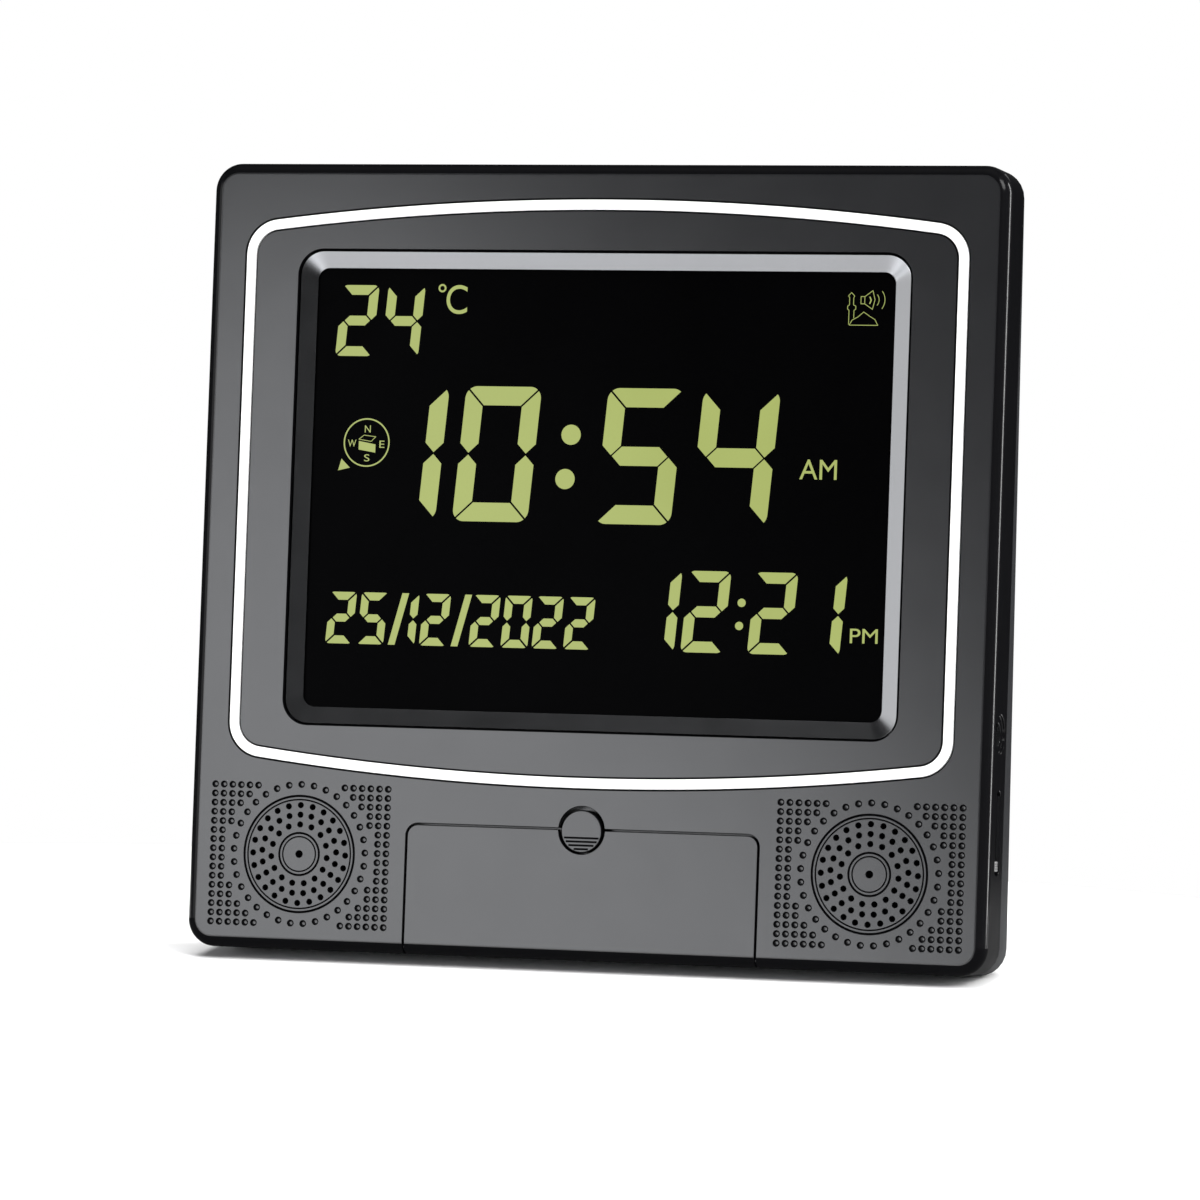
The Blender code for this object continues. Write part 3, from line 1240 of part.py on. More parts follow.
def stand_leg():
    """The leg about its hinge: a tapered plate with a round head and a toe cut level."""
    half = STAND_THICKNESS / 2
    toe = STAND_TOE_SHARE * STAND_HALF_WIDTH
    ends = leg_outline(STAND_PAD_THICKNESS + FIT_GAP)

    def build(shape):
        rows = []
        head = arc(0, 0, half, math.pi, 0, CORNER_STEPS)
        for side in (-1, 1):
            row = [shape.verts.new((side * STAND_HALF_WIDTH, y, z)) for y, z in head]
            row += [shape.verts.new((side * toe, y, z)) for y, z in reversed(ends)]
            rows.append(row)
        count = len(rows[0])
        shape.faces.new(list(reversed(rows[0])))
        shape.faces.new(rows[1])
        for index in range(count):
            following = (index + 1) % count
            shape.faces.new((rows[0][index], rows[0][following], rows[1][following], rows[1][index]))
    leg = mesh_object("stand_leg", build)
    cut(leg, cross_rod("pin_hole", STAND_PIN_RADIUS + FIT_GAP, -HALF_WIDTH, HALF_WIDTH, SMALL_SIDES))
    return leg


def stand_pad():
    """The rubber sole under the toe."""
    toe = STAND_TOE_SHARE * STAND_HALF_WIDTH
    upper = leg_outline(STAND_PAD_THICKNESS)
    lower = leg_outline(0)
    profile = [lower[0], lower[1], upper[1], upper[0]]
    return side_prism("stand_pad", profile, -toe, toe)


def stand_pin():
    y, z = stand_hinge_place()
    reach = STAND_HALF_WIDTH + STAND_RECESS_WALL / 2
    return cross_rod("stand_pin", STAND_PIN_RADIUS, -reach, reach, SMALL_SIDES, y, z)


# Assembly

def finish(piece, material, parent, place=(0, 0, 0), turn=(0, 0, 0)):
    """Give a piece its material and shading, and hang it on its parent."""
    piece.data.materials.append(material)
    piece.data.shade_smooth()
    piece.data.set_sharp_from_angle(angle=SMOOTH_ANGLE)
    hang(piece, parent, place, turn)


def hang(piece, parent, place, turn):
    piece.parent = parent
    piece.location = place
    piece.rotation_euler = turn


def finish_copies(word, shape, material, parent, places, turns=None):
    """Make one object per place; all of them share the mesh that shape(name) draws."""
    first = shape(f"{word}_1")
    finish(first, material, parent)
    for index, place in enumerate(places):
        piece = first
        if index > 0:
            piece = bpy.data.objects.new(f"{word}_{index + 1}", first.data)
            bpy.context.scene.collection.objects.link(piece)
        hang(piece, parent, place, turns[index] if turns else (0, 0, 0))


def recentre(piece, place):
    """Move a mesh that was drawn in place so that its origin is at place."""
    piece.data.transform(Matrix.Translation(-Vector(place)))
    return piece


def build_display(materials, clock):
    finish(trim_ring(), materials["trim_white"], clock)
    finish(display_bezel(), materials["bezel_satin"], clock)
    finish(display_window(), materials["window_black"], clock)
    finish(lcd_panel(), materials["panel_glass"], clock)
    finish(light_guide(), materials["guide_clear"], clock)
    finish(lcd_carrier(), materials["carrier_white"], clock)
    finish(zebra_strip(), materials["rubber_grey"], clock)
    finish(main_board(), materials["board_green"], clock)
    finish_copies("board_chip", chip_shape, materials["chip_black"], clock, list(chip_places()))
    seats = [(x, BOARD_BACK + FIT_GAP, z) for x, z in board_screw_places()]
    finish_copies("board_screw", board_screw_shape, materials["screw_steel"], clock, seats)


def build_front_controls(materials, clock):
    door_hinge = (0, DOOR_THICKNESS, DOOR_THICKNESS)
    finish(recentre(front_door(), door_hinge), materials["case_plastic"], clock, door_hinge)
    button_height = BUTTON_HOLE_HEIGHT - BUTTON_DROP
    finish(latch_button(), materials["case_plastic"], clock, (0, 0, button_height))
    spring_place = (0, BUTTON_CAP_THICKNESS + FIT_GAP, button_height)
    finish(latch_spring(), materials["screw_steel"], clock, spring_place)
    places = [(x, POCKET_DEPTH, z) for x, z in key_places()]
    finish_copies("key", key_shape, materials["key_grey"], clock, places)
    finish(dome_sheet(), materials["carrier_white"], clock)
    finish(key_board(), materials["board_green"], clock)


def build_speakers(materials, clock):
    seats = []
    for side, word in ((-1, "left"), (1, "right")):
        place = (side * SPEAKER_X, FRONT_WALL, SPEAKER_HEIGHT)
        finish(speaker_cloth(f"speaker_cloth_{word}"), materials["cloth_black"], clock, place)
        finish(speaker_frame(f"speaker_frame_{word}"), materials["magnet_grey"], clock, place)
        finish(speaker_cone(f"speaker_cone_{word}"), materials["paper_cone"], clock, place)
        finish(speaker_magnet(f"speaker_magnet_{word}"), materials["magnet_grey"], clock, place)
        seats += [(x, speaker_post_back() + FIT_GAP, z) for x, z in speaker_screw_places(side)]
    finish_copies("speaker_screw", speaker_screw_shape, materials["screw_steel"], clock, seats)


def build_side_controls(materials, clock):
    finish(dc_jack(), materials["chip_black"], clock)
    finish(jack_pin(), materials["contact_nickel"], clock)
    finish(volume_pot(), materials["chip_black"], clock)
    finish(volume_slider(), materials["knob_pale"], clock, (0, SLIDER_DEPTH, slider_rest_height()))


def build_batteries(materials, clock):
    middle_down, middle_up = bay_middle()
    places = []
    turns = []
    for x, y, direction in cell_places():
        places.append((x, y, middle_up if direction > 0 else middle_down))
        turns.append((direction * math.pi / 2, 0, 0))
    finish_copies("battery", cell_shape, materials["cell_wrap"], clock, places, turns)
    for index, plan in enumerate(CONTACT_PLANS, start=1):
        finish(battery_contact(f"battery_contact_{index}", *plan), materials["contact_nickel"], clock)
    hinge = cover_hinge_place()
    finish(recentre(battery_cover(), hinge), materials["rear_plastic"], clock, hinge)


def build_stand(materials, clock):
    y, z = stand_hinge_place()
    hinge = bpy.data.objects.new("stand_hinge", None)
    bpy.context.scene.collection.objects.link(hinge)
    hang(hinge, clock, (0, y, z), (LEAN_ANGLE + STAND_SPLAY, 0, 0))
    finish(stand_leg(), materials["rear_plastic"], hinge)
    finish(stand_pad(), materials["rubber_black"], hinge)
    finish(stand_pin(), materials["screw_steel"], clock)


def stand_on_table(clock):
    """Lean the clock back, then put its lowest point at z = 0 and its footprint on the origin."""
    clock.rotation_euler = (-LEAN_ANGLE, 0, 0)
    bpy.context.view_layer.update()
    corners = []
    for item in bpy.context.scene.objects:
        if item.type == "MESH":
            corners += [item.matrix_world @ vertex.co for vertex in item.data.vertices]
    low = [min(corner[axis] for corner in corners) for axis in range(3)]
    high = [max(corner[axis] for corner in corners) for axis in range(3)]
    clock.location = (-(low[0] + high[0]) / 2, -(low[1] + high[1]) / 2, -low[2])
    bpy.context.view_layer.update()


def main():
    clear_scene()
    materials = make_materials()
    clock = bpy.data.objects.new("clock_frame", None)
    bpy.context.scene.collection.objects.link(clock)
    finish(front_shell(), materials["case_plastic"], clock)
    finish(rear_shell(), materials["rear_plastic"], clock)
    seat = CASE_BOSS_DEPTH + CASE_POST_FLOOR + 2 * FIT_GAP
    seats = [(x, seat, z) for x, z in case_screw_places()]
    finish_copies("case_screw", case_screw_shape, materials["screw_steel"], clock, seats)
    build_display(materials, clock)
    build_front_controls(materials, clock)
    build_speakers(materials, clock)
    build_side_controls(materials, clock)
    build_batteries(materials, clock)
    build_stand(materials, clock)
    stand_on_table(clock)


main()
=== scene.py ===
"""The azan clock as photographed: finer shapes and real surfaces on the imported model, in the same frame."""

import math

import bmesh
import bpy
from mathutils import Matrix, Vector


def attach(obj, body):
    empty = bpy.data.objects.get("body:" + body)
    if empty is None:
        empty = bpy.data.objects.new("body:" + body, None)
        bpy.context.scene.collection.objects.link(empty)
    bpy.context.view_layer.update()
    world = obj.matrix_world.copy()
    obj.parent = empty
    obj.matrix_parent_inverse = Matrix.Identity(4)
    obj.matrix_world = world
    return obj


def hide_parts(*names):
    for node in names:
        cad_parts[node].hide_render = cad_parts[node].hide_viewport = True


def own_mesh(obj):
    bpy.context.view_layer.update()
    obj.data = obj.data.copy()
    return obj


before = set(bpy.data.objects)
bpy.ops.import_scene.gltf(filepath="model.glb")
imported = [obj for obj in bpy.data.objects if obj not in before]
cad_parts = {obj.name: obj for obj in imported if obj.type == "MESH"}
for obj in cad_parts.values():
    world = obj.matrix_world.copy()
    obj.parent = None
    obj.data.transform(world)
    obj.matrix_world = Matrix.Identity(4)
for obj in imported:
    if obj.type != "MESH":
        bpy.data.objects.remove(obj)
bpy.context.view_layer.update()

# Sizes, the same numbers as the solid model

MM = 0.001
LEAN = math.radians(9.0)
CLOCK = Matrix.Translation((0, -33.4229 * MM, 4.0517 * MM)) @ Matrix.Rotation(-LEAN, 4, "X")
GAP = 0.3 * MM
OVER = 1.0 * MM
HALF_WIDTH = 124.0 * MM
HEIGHT = 236.5 * MM
CORNER = 8.3 * MM
ROLL = 3.6 * MM
FRONT_DEPTH = 16.5 * MM
WALL = 2.5 * MM
RING_HALF = 112.6 * MM
RING_LOW = 50.6 * MM
RING_TOP = 226.15 * MM
RING_WIDTH = 3.8 * MM
RING_CORNER = 11.0 * MM
RING_BOW = 825.0 * MM
RING_PROUD = 0.2 * MM
RING_GROOVE = 1.5 * MM
DISPLAY_HALF = 95.4 * MM
DISPLAY_LOW = 67.4 * MM
DISPLAY_TOP = 210.5 * MM
DISPLAY_CORNER = 7.8 * MM
BEZEL_GAP = 0.6 * MM
BEZEL_RECESS = 0.8 * MM
BEZEL_WIDTH = 4.95 * MM
BEZEL_DROP = 1.6 * MM
BEZEL_LIP = 0.6 * MM
BEZEL_FLANGE = 3.6 * MM
WINDOW_CORNER = 3.6 * MM
WINDOW_REBATE = 2.3 * MM
WINDOW_THICKNESS = 1.5 * MM
WINDOW_FRONT = BEZEL_RECESS + BEZEL_DROP + BEZEL_LIP + GAP
DOOR_WIDTH = 0.4383 * 2 * HALF_WIDTH
DOOR_TOP = 38.6 * MM
DOOR_GAP = 0.5 * MM
DOOR_CORNER = 3.3 * MM
DOOR_THICKNESS = 2.2 * MM
DOOR_LIP = 0.45 * MM
POCKET_HALF = DOOR_WIDTH / 2 + DOOR_GAP
POCKET_TOP = DOOR_TOP + DOOR_GAP
POCKET_DEPTH = 6.4 * MM
POCKET_WALL = 1.5 * MM
PIN_RADIUS = 1.1 * MM
LUG_RADIUS = 1.7 * MM
LUG_LENGTH = 5.0 * MM
PIN_REACH = 1.2 * MM
BUTTON_RADIUS = 6.3 * MM
BUTTON_HOLE = 7.1 * MM
BUTTON_DROP = 0.35 * MM
BUTTON_Z = DOOR_TOP - BUTTON_DROP
CAP_THICKNESS = 3.4 * MM
STEM_RADIUS = 2.2 * MM
BOSS_BACK = POCKET_DEPTH + 2.0 * MM
KEY_WIDTH = 0.114 * DOOR_WIDTH
KEY_HEIGHT = 6.0 * MM
KEY_PITCH_X = 0.175 * DOOR_WIDTH
KEY_PITCH_Z = 12.5 * MM
KEY_X = -0.21 * DOOR_WIDTH
KEY_Z = 18.5 * MM
SPEAKER_X = 0.3565 * 2 * HALF_WIDTH
SPEAKER_Z = 28.6 * MM
SPEAKER_RADIUS = 0.0726 * 2 * HALF_WIDTH
HOLE_RADIUS = 0.8 * MM
CENTRE_HOLE = 1.03 * MM
HOLE_RINGS = ((0.4926, 15), (0.6548, 21), (0.8142, 24))
JACK_Z = 70.7 * MM
JACK_Y = 9.35 * MM
JACK_HOLE = 3.35 * MM
JACK_DISH = 5.75 * MM
JACK_DISH_DEPTH = 0.8 * MM
SLIDER_LOW = 29.4 * MM
SLIDER_LENGTH = 24.8 * MM
SLIDER_Y = 10.2 * MM
SLIDER_WIDE = 5.6 * MM
SLIDER_NARROW = 4.4 * MM
SLIDER_DISH = 1.2 * MM
SLIDER_SLOT = 2.0 * MM
KNOB_WIDTH = 3.4 * MM
KNOB_LENGTH = 3.0 * MM
KNOB_HEIGHT = 0.8 * MM
SLIDER_END = 1.0 * MM
TRACK_DEPTH = 2.0 * MM

# Sizes that only the visible surface has

PITCH = 2.75 * MM
CORNER_STEPS = 14
ROLL_STEPS = 10
BOW_STEPS = 96
GROOVES = ((17.4 * MM, 0.36 * MM), (16.3 * MM, 0.24 * MM), (6.3 * MM, 0.33 * MM), (5.2 * MM, 0.23 * MM))
DIMPLE_RADIUS = 1.08 * MM
DIMPLE_DEPTH = 0.8 * MM
DIMPLE_RING = (20.85 * MM, 33)
DIMPLE_ROWS = (6, 5, 4, 3, 3, 2, 2, 2)
DIMPLE_LOW_ROW = -7.65
DIMPLE_LIMIT = 10
GROOVE_SLOPE = 1.7
ROUND_STEPS = 5
RIM = 0.16 * MM
RING_GAP = 0.4 * MM
RING_ROUND = 0.4 * MM
BEZEL_EDGE = 0.06 * MM
BEZEL_EDGE_DROP = 0.03 * MM
BEZEL_SOFT = 0.25 * MM
DISH_STEPS = 14
DISH_FLATNESS = 0.6
CAP_SOFT = 0.35 * MM
CAP_CROWN = 0.5 * MM
CAP_RISE = 0.01 * MM
COLLAR_RADIUS = 3.2 * MM
COLLAR_LENGTH = 1.0 * MM
GRIP_COUNT = 4
GRIP_START = 2.8
GRIP_PITCH = 0.4
GRIP_MARGIN = 0.6 * MM
GRIP_HALF = 0.3 * MM
GRIP_DEPTH = 0.35 * MM
KNURL_PITCH = 0.75 * MM
KNURL_HALF = 0.2 * MM
KNURL_DEPTH = 0.25 * MM
DOOR_SOFT = 0.2 * MM
KNOB_SOFT = 0.3 * MM
REAR_SOFT = 0.15 * MM
COVER_SOFT = 0.2 * MM
LEG_SOFT = 0.4 * MM
PAD_SOFT = 0.3 * MM
KEY_SOFT = 0.4 * MM
WELD = 0.002 * MM
NEAR = 0.02 * MM
EYE = Vector((588.878, -1864.08, 30.913)) * MM

# Outlines in the face plane


def arc(cx, cz, radius, start, stop, steps):
    """Points of a circular arc."""
    turn = (stop - start) / steps
    return [(cx + radius * math.cos(start + turn * i), cz + radius * math.sin(start + turn * i))
            for i in range(steps + 1)]


def rounded(half, low, high, radius, steps=CORNER_STEPS):
    """A rectangle with four round corners."""
    quarter = math.pi / 2
    points = arc(half - radius, low + radius, radius, -quarter, 0, steps)
    points += arc(half - radius, high - radius, radius, 0, quarter, steps)
    points += arc(radius - half, high - radius, radius, quarter, math.pi, steps)
    return points + arc(radius - half, low + radius, radius, -math.pi, -quarter, steps)


def bowed(inset):
    """The trim ring's outline: top and bottom edges swell out on long arcs."""
    half = RING_HALF - inset
    low = RING_LOW + inset
    high = RING_TOP - inset
    radius = RING_CORNER - inset
    bow = RING_BOW - inset
    corner = half - radius
    rise = math.sqrt((bow - radius) ** 2 - corner ** 2)
    lean = math.atan2(rise, corner)
    upper = arc(corner, high - bow + rise, radius, 0, lean, CORNER_STEPS)
    upper += arc(0, high - bow, bow, lean, math.pi - lean, BOW_STEPS)[1:-1]
    upper += arc(-corner, high - bow + rise, radius, math.pi - lean, math.pi, CORNER_STEPS)
    return upper + [(-x, low + high - z) for x, z in upper]


def case_outline(inset):
    return rounded(HALF_WIDTH - inset, inset, HEIGHT - inset, CORNER - inset)


def display_outline(inset, radius):
    return rounded(DISPLAY_HALF - inset, DISPLAY_LOW + inset, DISPLAY_TOP - inset, radius)


def door_outline(half, low, high, radius):
    quarter = math.pi / 2
    points = [(-half, low), (half, low)] + arc(half - radius, high - radius, radius, 0, quarter, CORNER_STEPS)
    return points + arc(radius - half, high - radius, radius, quarter, math.pi, CORNER_STEPS)


def at(outline, depth):
    return [(x, depth, z) for x, z in outline]


# Bodies, all built in the frame of the upright clock


def new_object(name, mesh):
    piece = bpy.data.objects.new(name, mesh)
    bpy.context.scene.collection.objects.link(piece)
    return piece


def from_bmesh(name, body):
    bmesh.ops.recalc_face_normals(body, faces=body.faces)
    mesh = bpy.data.meshes.new(name)
    body.to_mesh(mesh)
    body.free()
    return new_object(name, mesh)


def skin(body, rings, closed=False):
    """Join rings of equal length with quads, with flat ends unless closed."""
    loops = [[body.verts.new(p) for p in ring] for ring in rings]
    count = len(loops)
    size = len(loops[0])
    for i in range(count if closed else count - 1):
        near = loops[i]
        far = loops[(i + 1) % count]
        for j in range(size):
            k = (j + 1) % size
            body.faces.new((near[j], near[k], far[k], far[j]))
    if not closed:
        body.faces.new(loops[0])
        body.faces.new(list(reversed(loops[-1])))


def loft(name, rings, closed=False):
    body = bmesh.new()
    skin(body, rings, closed)
    return from_bmesh(name, body)


def plate(name, outline, front, back):
    return loft(name, [at(outline, front), at(outline, back)])


def turned_rings(profile, sides, cx=0.0, cz=0.0, axis="y", cy=0.0):
    """Rings of (radius, along) turned about a line parallel to an axis."""
    rings = []
    for radius, along in profile:
        ring = []
        for u, v in arc(0, 0, radius, 0, 2 * math.pi, sides)[:-1]:
            ring.append((cx + u, along, cz + v) if axis == "y" else (along, cy + u, cz + v))
        rings.append(ring)
    return rings


def turned(name, profile, sides, **where):
    return loft(name, turned_rings(profile, sides, **where))


def box(name, low, high):
    xs = (low[0], high[0])
    outline = [(low[1], low[2]), (high[1], low[2]), (high[1], high[2]), (low[1], high[2])]
    return loft(name, [[(x, y, z) for y, z in outline] for x in xs])


def prism(name, profile, low_x, high_x):
    """A profile in (depth, height) swept from side to side."""
    return loft(name, [[(x, y, z) for y, z in profile] for x in (low_x, high_x)])


def baked(piece):
    """Put what the modifiers do into the mesh."""
    view = bpy.context.evaluated_depsgraph_get()
    mesh = bpy.data.meshes.new_from_object(piece.evaluated_get(view))
    old = piece.data
    piece.modifiers.clear()
    piece.data = mesh
    bpy.data.meshes.remove(old)
    return piece


def combine(target, tool, operation):
    change = target.modifiers.new("b", "BOOLEAN")
    change.operation = operation
    change.solver = "EXACT"
    change.object = tool
    baked(target)
    bpy.data.objects.remove(tool)


def add(target, *tools):
    for tool in tools:
        combine(target, tool, "UNION")


def cut(target, *tools):
    for tool in tools:
        combine(target, tool, "DIFFERENCE")


def softened(piece, width, segments=2, angle=35.0):
    """A small round on each hard edge."""
    change = piece.modifiers.new("r", "BEVEL")
    change.width = width
    change.segments = segments
    change.limit_method = "ANGLE"
    change.angle_limit = math.radians(angle)
    change.miter_outer = "MITER_ARC"
    return baked(piece)


def shaded(piece, angle=30.0):
    """Smooth surfaces, with flat ones kept flat."""
    mesh = piece.data
    for face in mesh.polygons:
        face.use_smooth = True
    mesh.set_sharp_from_angle(angle=math.radians(angle))
    change = piece.modifiers.new("w", "WEIGHTED_NORMAL")
    change.keep_sharp = True
    change.weight = 50
    return baked(piece)


def place(piece, body, finish, replaced=(), turn=CLOCK):
    """Lay a piece on the leaning clock, give it its surface and tie it to its body."""
    piece.data.transform(turn)
    piece.data.materials.clear()
    piece.data.materials.append(finish)
    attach(piece, body)
    if replaced:
        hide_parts(*replaced)
    return piece


# Surfaces

PATCHES = 22.0
GRAIN_HEIGHT = 0.05 * MM
COAT_ROUGH = 0.1


class Net:
    """A short way to write a material's nodes."""

    def __init__(self, name):
        self.material = bpy.data.materials.new(name)
        self.material.use_nodes = True
        self.nodes = self.material.node_tree.nodes
        self.links = self.material.node_tree.links
        self.shader = self.nodes["Principled BSDF"]
        self.place = self.nodes.new("ShaderNodeTexCoord").outputs["Object"]

    def link(self, out, socket):
        self.links.new(out, socket)

    def noise(self, scale, detail=2.0, rough=0.5):
        node = self.nodes.new("ShaderNodeTexNoise")
        node.inputs["Scale"].default_value = scale
        node.inputs["Detail"].default_value = detail
        node.inputs["Roughness"].default_value = rough
        self.link(self.place, node.inputs["Vector"])
        return node.outputs["Fac"]

    def cells(self, scale):
        node = self.nodes.new("ShaderNodeTexVoronoi")
        node.inputs["Scale"].default_value = scale
        self.link(self.place, node.inputs["Vector"])
        return node.outputs["Distance"]

    def spread(self, value, low, high, first=0.3, last=0.7):
        node = self.nodes.new("ShaderNodeMapRange")
        node.inputs["From Min"].default_value = first
        node.inputs["From Max"].default_value = last
        node.inputs["To Min"].default_value = low
        node.inputs["To Max"].default_value = high
        self.link(value, node.inputs["Value"])
        return node.outputs["Result"]

    def blend(self, factor, first, second):
        node = self.nodes.new("ShaderNodeMix")
        node.data_type = "RGBA"
        for socket, value in ((node.inputs[6], first), (node.inputs[7], second)):
            if hasattr(value, "links"):
                self.link(value, socket)
            else:
                socket.default_value = (*value, 1)
        self.link(factor, node.inputs[0])
        return node.outputs[2]

    def colour(self, out):
        self.link(out, self.shader.inputs["Base Color"])

    def roughness(self, out):
        self.link(out, self.shader.inputs["Roughness"])

    def bump(self, height, strength, distance):
        node = self.nodes.new("ShaderNodeBump")
        node.inputs["Strength"].default_value = strength
        node.inputs["Distance"].default_value = distance
        self.link(height, node.inputs["Height"])
        self.link(node.outputs["Normal"], self.shader.inputs["Normal"])

    def fixed(self, **values):
        for name, value in values.items():
            self.shader.inputs[name.replace("_", " ")].default_value = value


def shade(colour, factor):
    return tuple(channel * factor for channel in colour)


def moulded(name, colour, rough, vary=0.12, rough_vary=0.05, grain=1500.0, relief=0.03, specular=0.5,
            metallic=0.0, coat=0.0):
    """Moulded stuff: fine grain, faint patches of colour and gloss."""
    net = Net(name)
    fine = net.noise(grain, 3.0, 0.6)
    wide = net.noise(PATCHES, 4.0, 0.55)
    speck = net.noise(grain * 0.4, 2.0, 0.5)
    base = net.blend(net.spread(wide, 0.0, 1.0), shade(colour, 1 - vary), shade(colour, 1 + vary))
    net.colour(net.blend(net.spread(speck, 0.0, 0.35), base, shade(colour, 1 + 2 * vary)))
    net.roughness(net.spread(net.noise(PATCHES * 3, 3.0, 0.6), rough - rough_vary, rough + rough_vary))
    net.bump(fine, relief, GRAIN_HEIGHT)
    net.fixed(Metallic=metallic, Specular_IOR_Level=specular, Coat_Weight=coat, Coat_Roughness=COAT_ROUGH)
    return net.material


def cloth(name, colour):
    """Fine black speaker cloth: two sets of threads crossing."""
    net = Net(name)
    waves = []
    for axis in ("X", "Z"):
        node = net.nodes.new("ShaderNodeTexWave")
        node.bands_direction = axis
        node.inputs["Scale"].default_value = 420.0
        node.inputs["Distortion"].default_value = 0.6
        net.link(net.place, node.inputs["Vector"])
        waves.append(node.outputs["Fac"])
    weave = net.blend(waves[0], (0, 0, 0), (0.5, 0.5, 0.5))
    weave = net.blend(waves[1], weave, (1, 1, 1))
    net.colour(net.blend(waves[0], shade(colour, 0.5), shade(colour, 1.4)))
    net.roughness(net.spread(net.noise(300.0), 0.85, 0.98))
    net.bump(weave, 0.4, 0.1 * MM)
    net.fixed(Specular_IOR_Level=0.2)
    return net.material


def glowing(name, colour):
    """Display segments lit from behind, a little uneven."""
    net = Net(name)
    wide = net.noise(30.0, 2.0)
    tone = net.blend(net.spread(wide, 0.0, 1.0), shade(colour, 0.96), shade(colour, 1.03))
    fine = net.noise(1800.0, 2.0)
    tone = net.blend(net.spread(fine, 0.0, 0.25), tone, shade(colour, 0.9))
    net.link(tone, net.shader.inputs["Emission Color"])
    net.colour(net.blend(wide, (0.004, 0.004, 0.003), (0.006, 0.006, 0.004)))
    net.roughness(net.spread(wide, 0.12, 0.2))
    net.fixed(Emission_Strength=1.0, Specular_IOR_Level=0.1)
    return net.material


def board_stuff(name, colour, track):
    """Circuit board lacquer with copper tracks showing through."""
    net = Net(name)
    lanes = net.cells(160.0)
    tracks = net.spread(lanes, 0.0, 1.0, 0.25, 0.32)
    base = net.blend(tracks, track, colour)
    net.colour(net.blend(net.spread(net.noise(60.0), 0.0, 0.3), base, shade(colour, 0.7)))
    net.roughness(net.spread(net.noise(120.0), 0.3, 0.42))
    net.bump(tracks, 0.3, 0.05 * MM)
    return net.material


LOOKS = {
    "case_plastic": moulded("case_satin", (0.010, 0.0102, 0.011), 0.23, vary=0.05, relief=0.05,
                            rough_vary=0.012),
    "rear_plastic": moulded("rear_plastic", (0.017, 0.0174, 0.0187), 0.50, vary=0.07, relief=0.16,
                            grain=900.0, specular=0.03),
    "trim_white": moulded("trim_white", (0.86, 0.86, 0.85), 0.32, vary=0.02, relief=0.02),
    "bezel_satin": moulded("bezel_satin", (0.20, 0.203, 0.21), 0.21, vary=0.015, relief=0.04, metallic=1.0,
                           rough_vary=0.012, grain=1200.0),
    "window_black": moulded("window_black", (0.0007, 0.0007, 0.0008), 0.22, vary=0.2, relief=0.003,
                            rough_vary=0.02, specular=0.004),
    "panel_glass": moulded("panel_glass", (0.004, 0.004, 0.005), 0.12, relief=0.01),
    "guide_clear": moulded("guide_clear", (0.62, 0.66, 0.62), 0.25, relief=0.02),
    "carrier_white": moulded("carrier_white", (0.68, 0.68, 0.66), 0.5, relief=0.05),
    "board_green": board_stuff("board_green", (0.012, 0.09, 0.035), (0.05, 0.17, 0.05)),
    "chip_black": moulded("chip_black", (0.012, 0.012, 0.013), 0.6, relief=0.15),
    "screw_steel": moulded("screw_steel", (0.56, 0.56, 0.55), 0.3, metallic=1.0, relief=0.05, grain=2500.0),
    "key_grey": moulded("key_rubber", (0.20, 0.205, 0.21), 0.62, relief=0.08),
    "paper_cone": moulded("paper_cone", (0.028, 0.027, 0.026), 0.9, relief=0.4, grain=500.0),
    "magnet_grey": moulded("magnet_ferrite", (0.06, 0.06, 0.062), 0.55, relief=0.2, grain=700.0),
    "cloth_black": cloth("speaker_cloth", (0.006, 0.006, 0.0065)),
    "rubber_black": moulded("rubber_black", (0.012, 0.012, 0.012), 0.75, relief=0.2, grain=700.0),
    "rubber_grey": moulded("rubber_grey", (0.10, 0.10, 0.10), 0.7, relief=0.15, grain=700.0),
    "knob_pale": moulded("knob_pale", (0.11, 0.11, 0.11), 0.4, relief=0.05),
    "contact_nickel": moulded("contact_nickel", (0.62, 0.60, 0.55), 0.25, metallic=1.0, relief=0.04,
                              grain=2500.0),
    "cell_wrap": moulded("cell_wrap", (0.05, 0.055, 0.06), 0.28, metallic=0.3, relief=0.03, coat=0.4),
}
# Painted shade: a copy of the case plastic several times darker and almost without gloss, for the edge
# rounds, outer walls and the walls of grooves, dimples, holes and side dishes.
CASE_EDGE_PAINTED_SHADE = moulded("case_edge_painted_shade", (0.0028, 0.0028, 0.0032), 0.40, vary=0.08, relief=0.02, rough_vary=0.02,
                    specular=0.007)
# Painted shade too: a darker copy of the case plastic, made glossier, for the side rounds, where the right
# lamp gives a highlight.
CASE_GLOSS_PAINTED_SHADE = moulded("case_gloss_painted_shade", (0.004, 0.004, 0.0045), 0.16, vary=0.08, relief=0.02, rough_vary=0.02,
                     specular=0.10)
SEGMENT = glowing("segment_green", (0.413, 0.479, 0.144))

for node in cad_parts.values():
    for holder in node.material_slots:
        holder.material = LOOKS[holder.material.name.split(".")[0]]

# Front shell


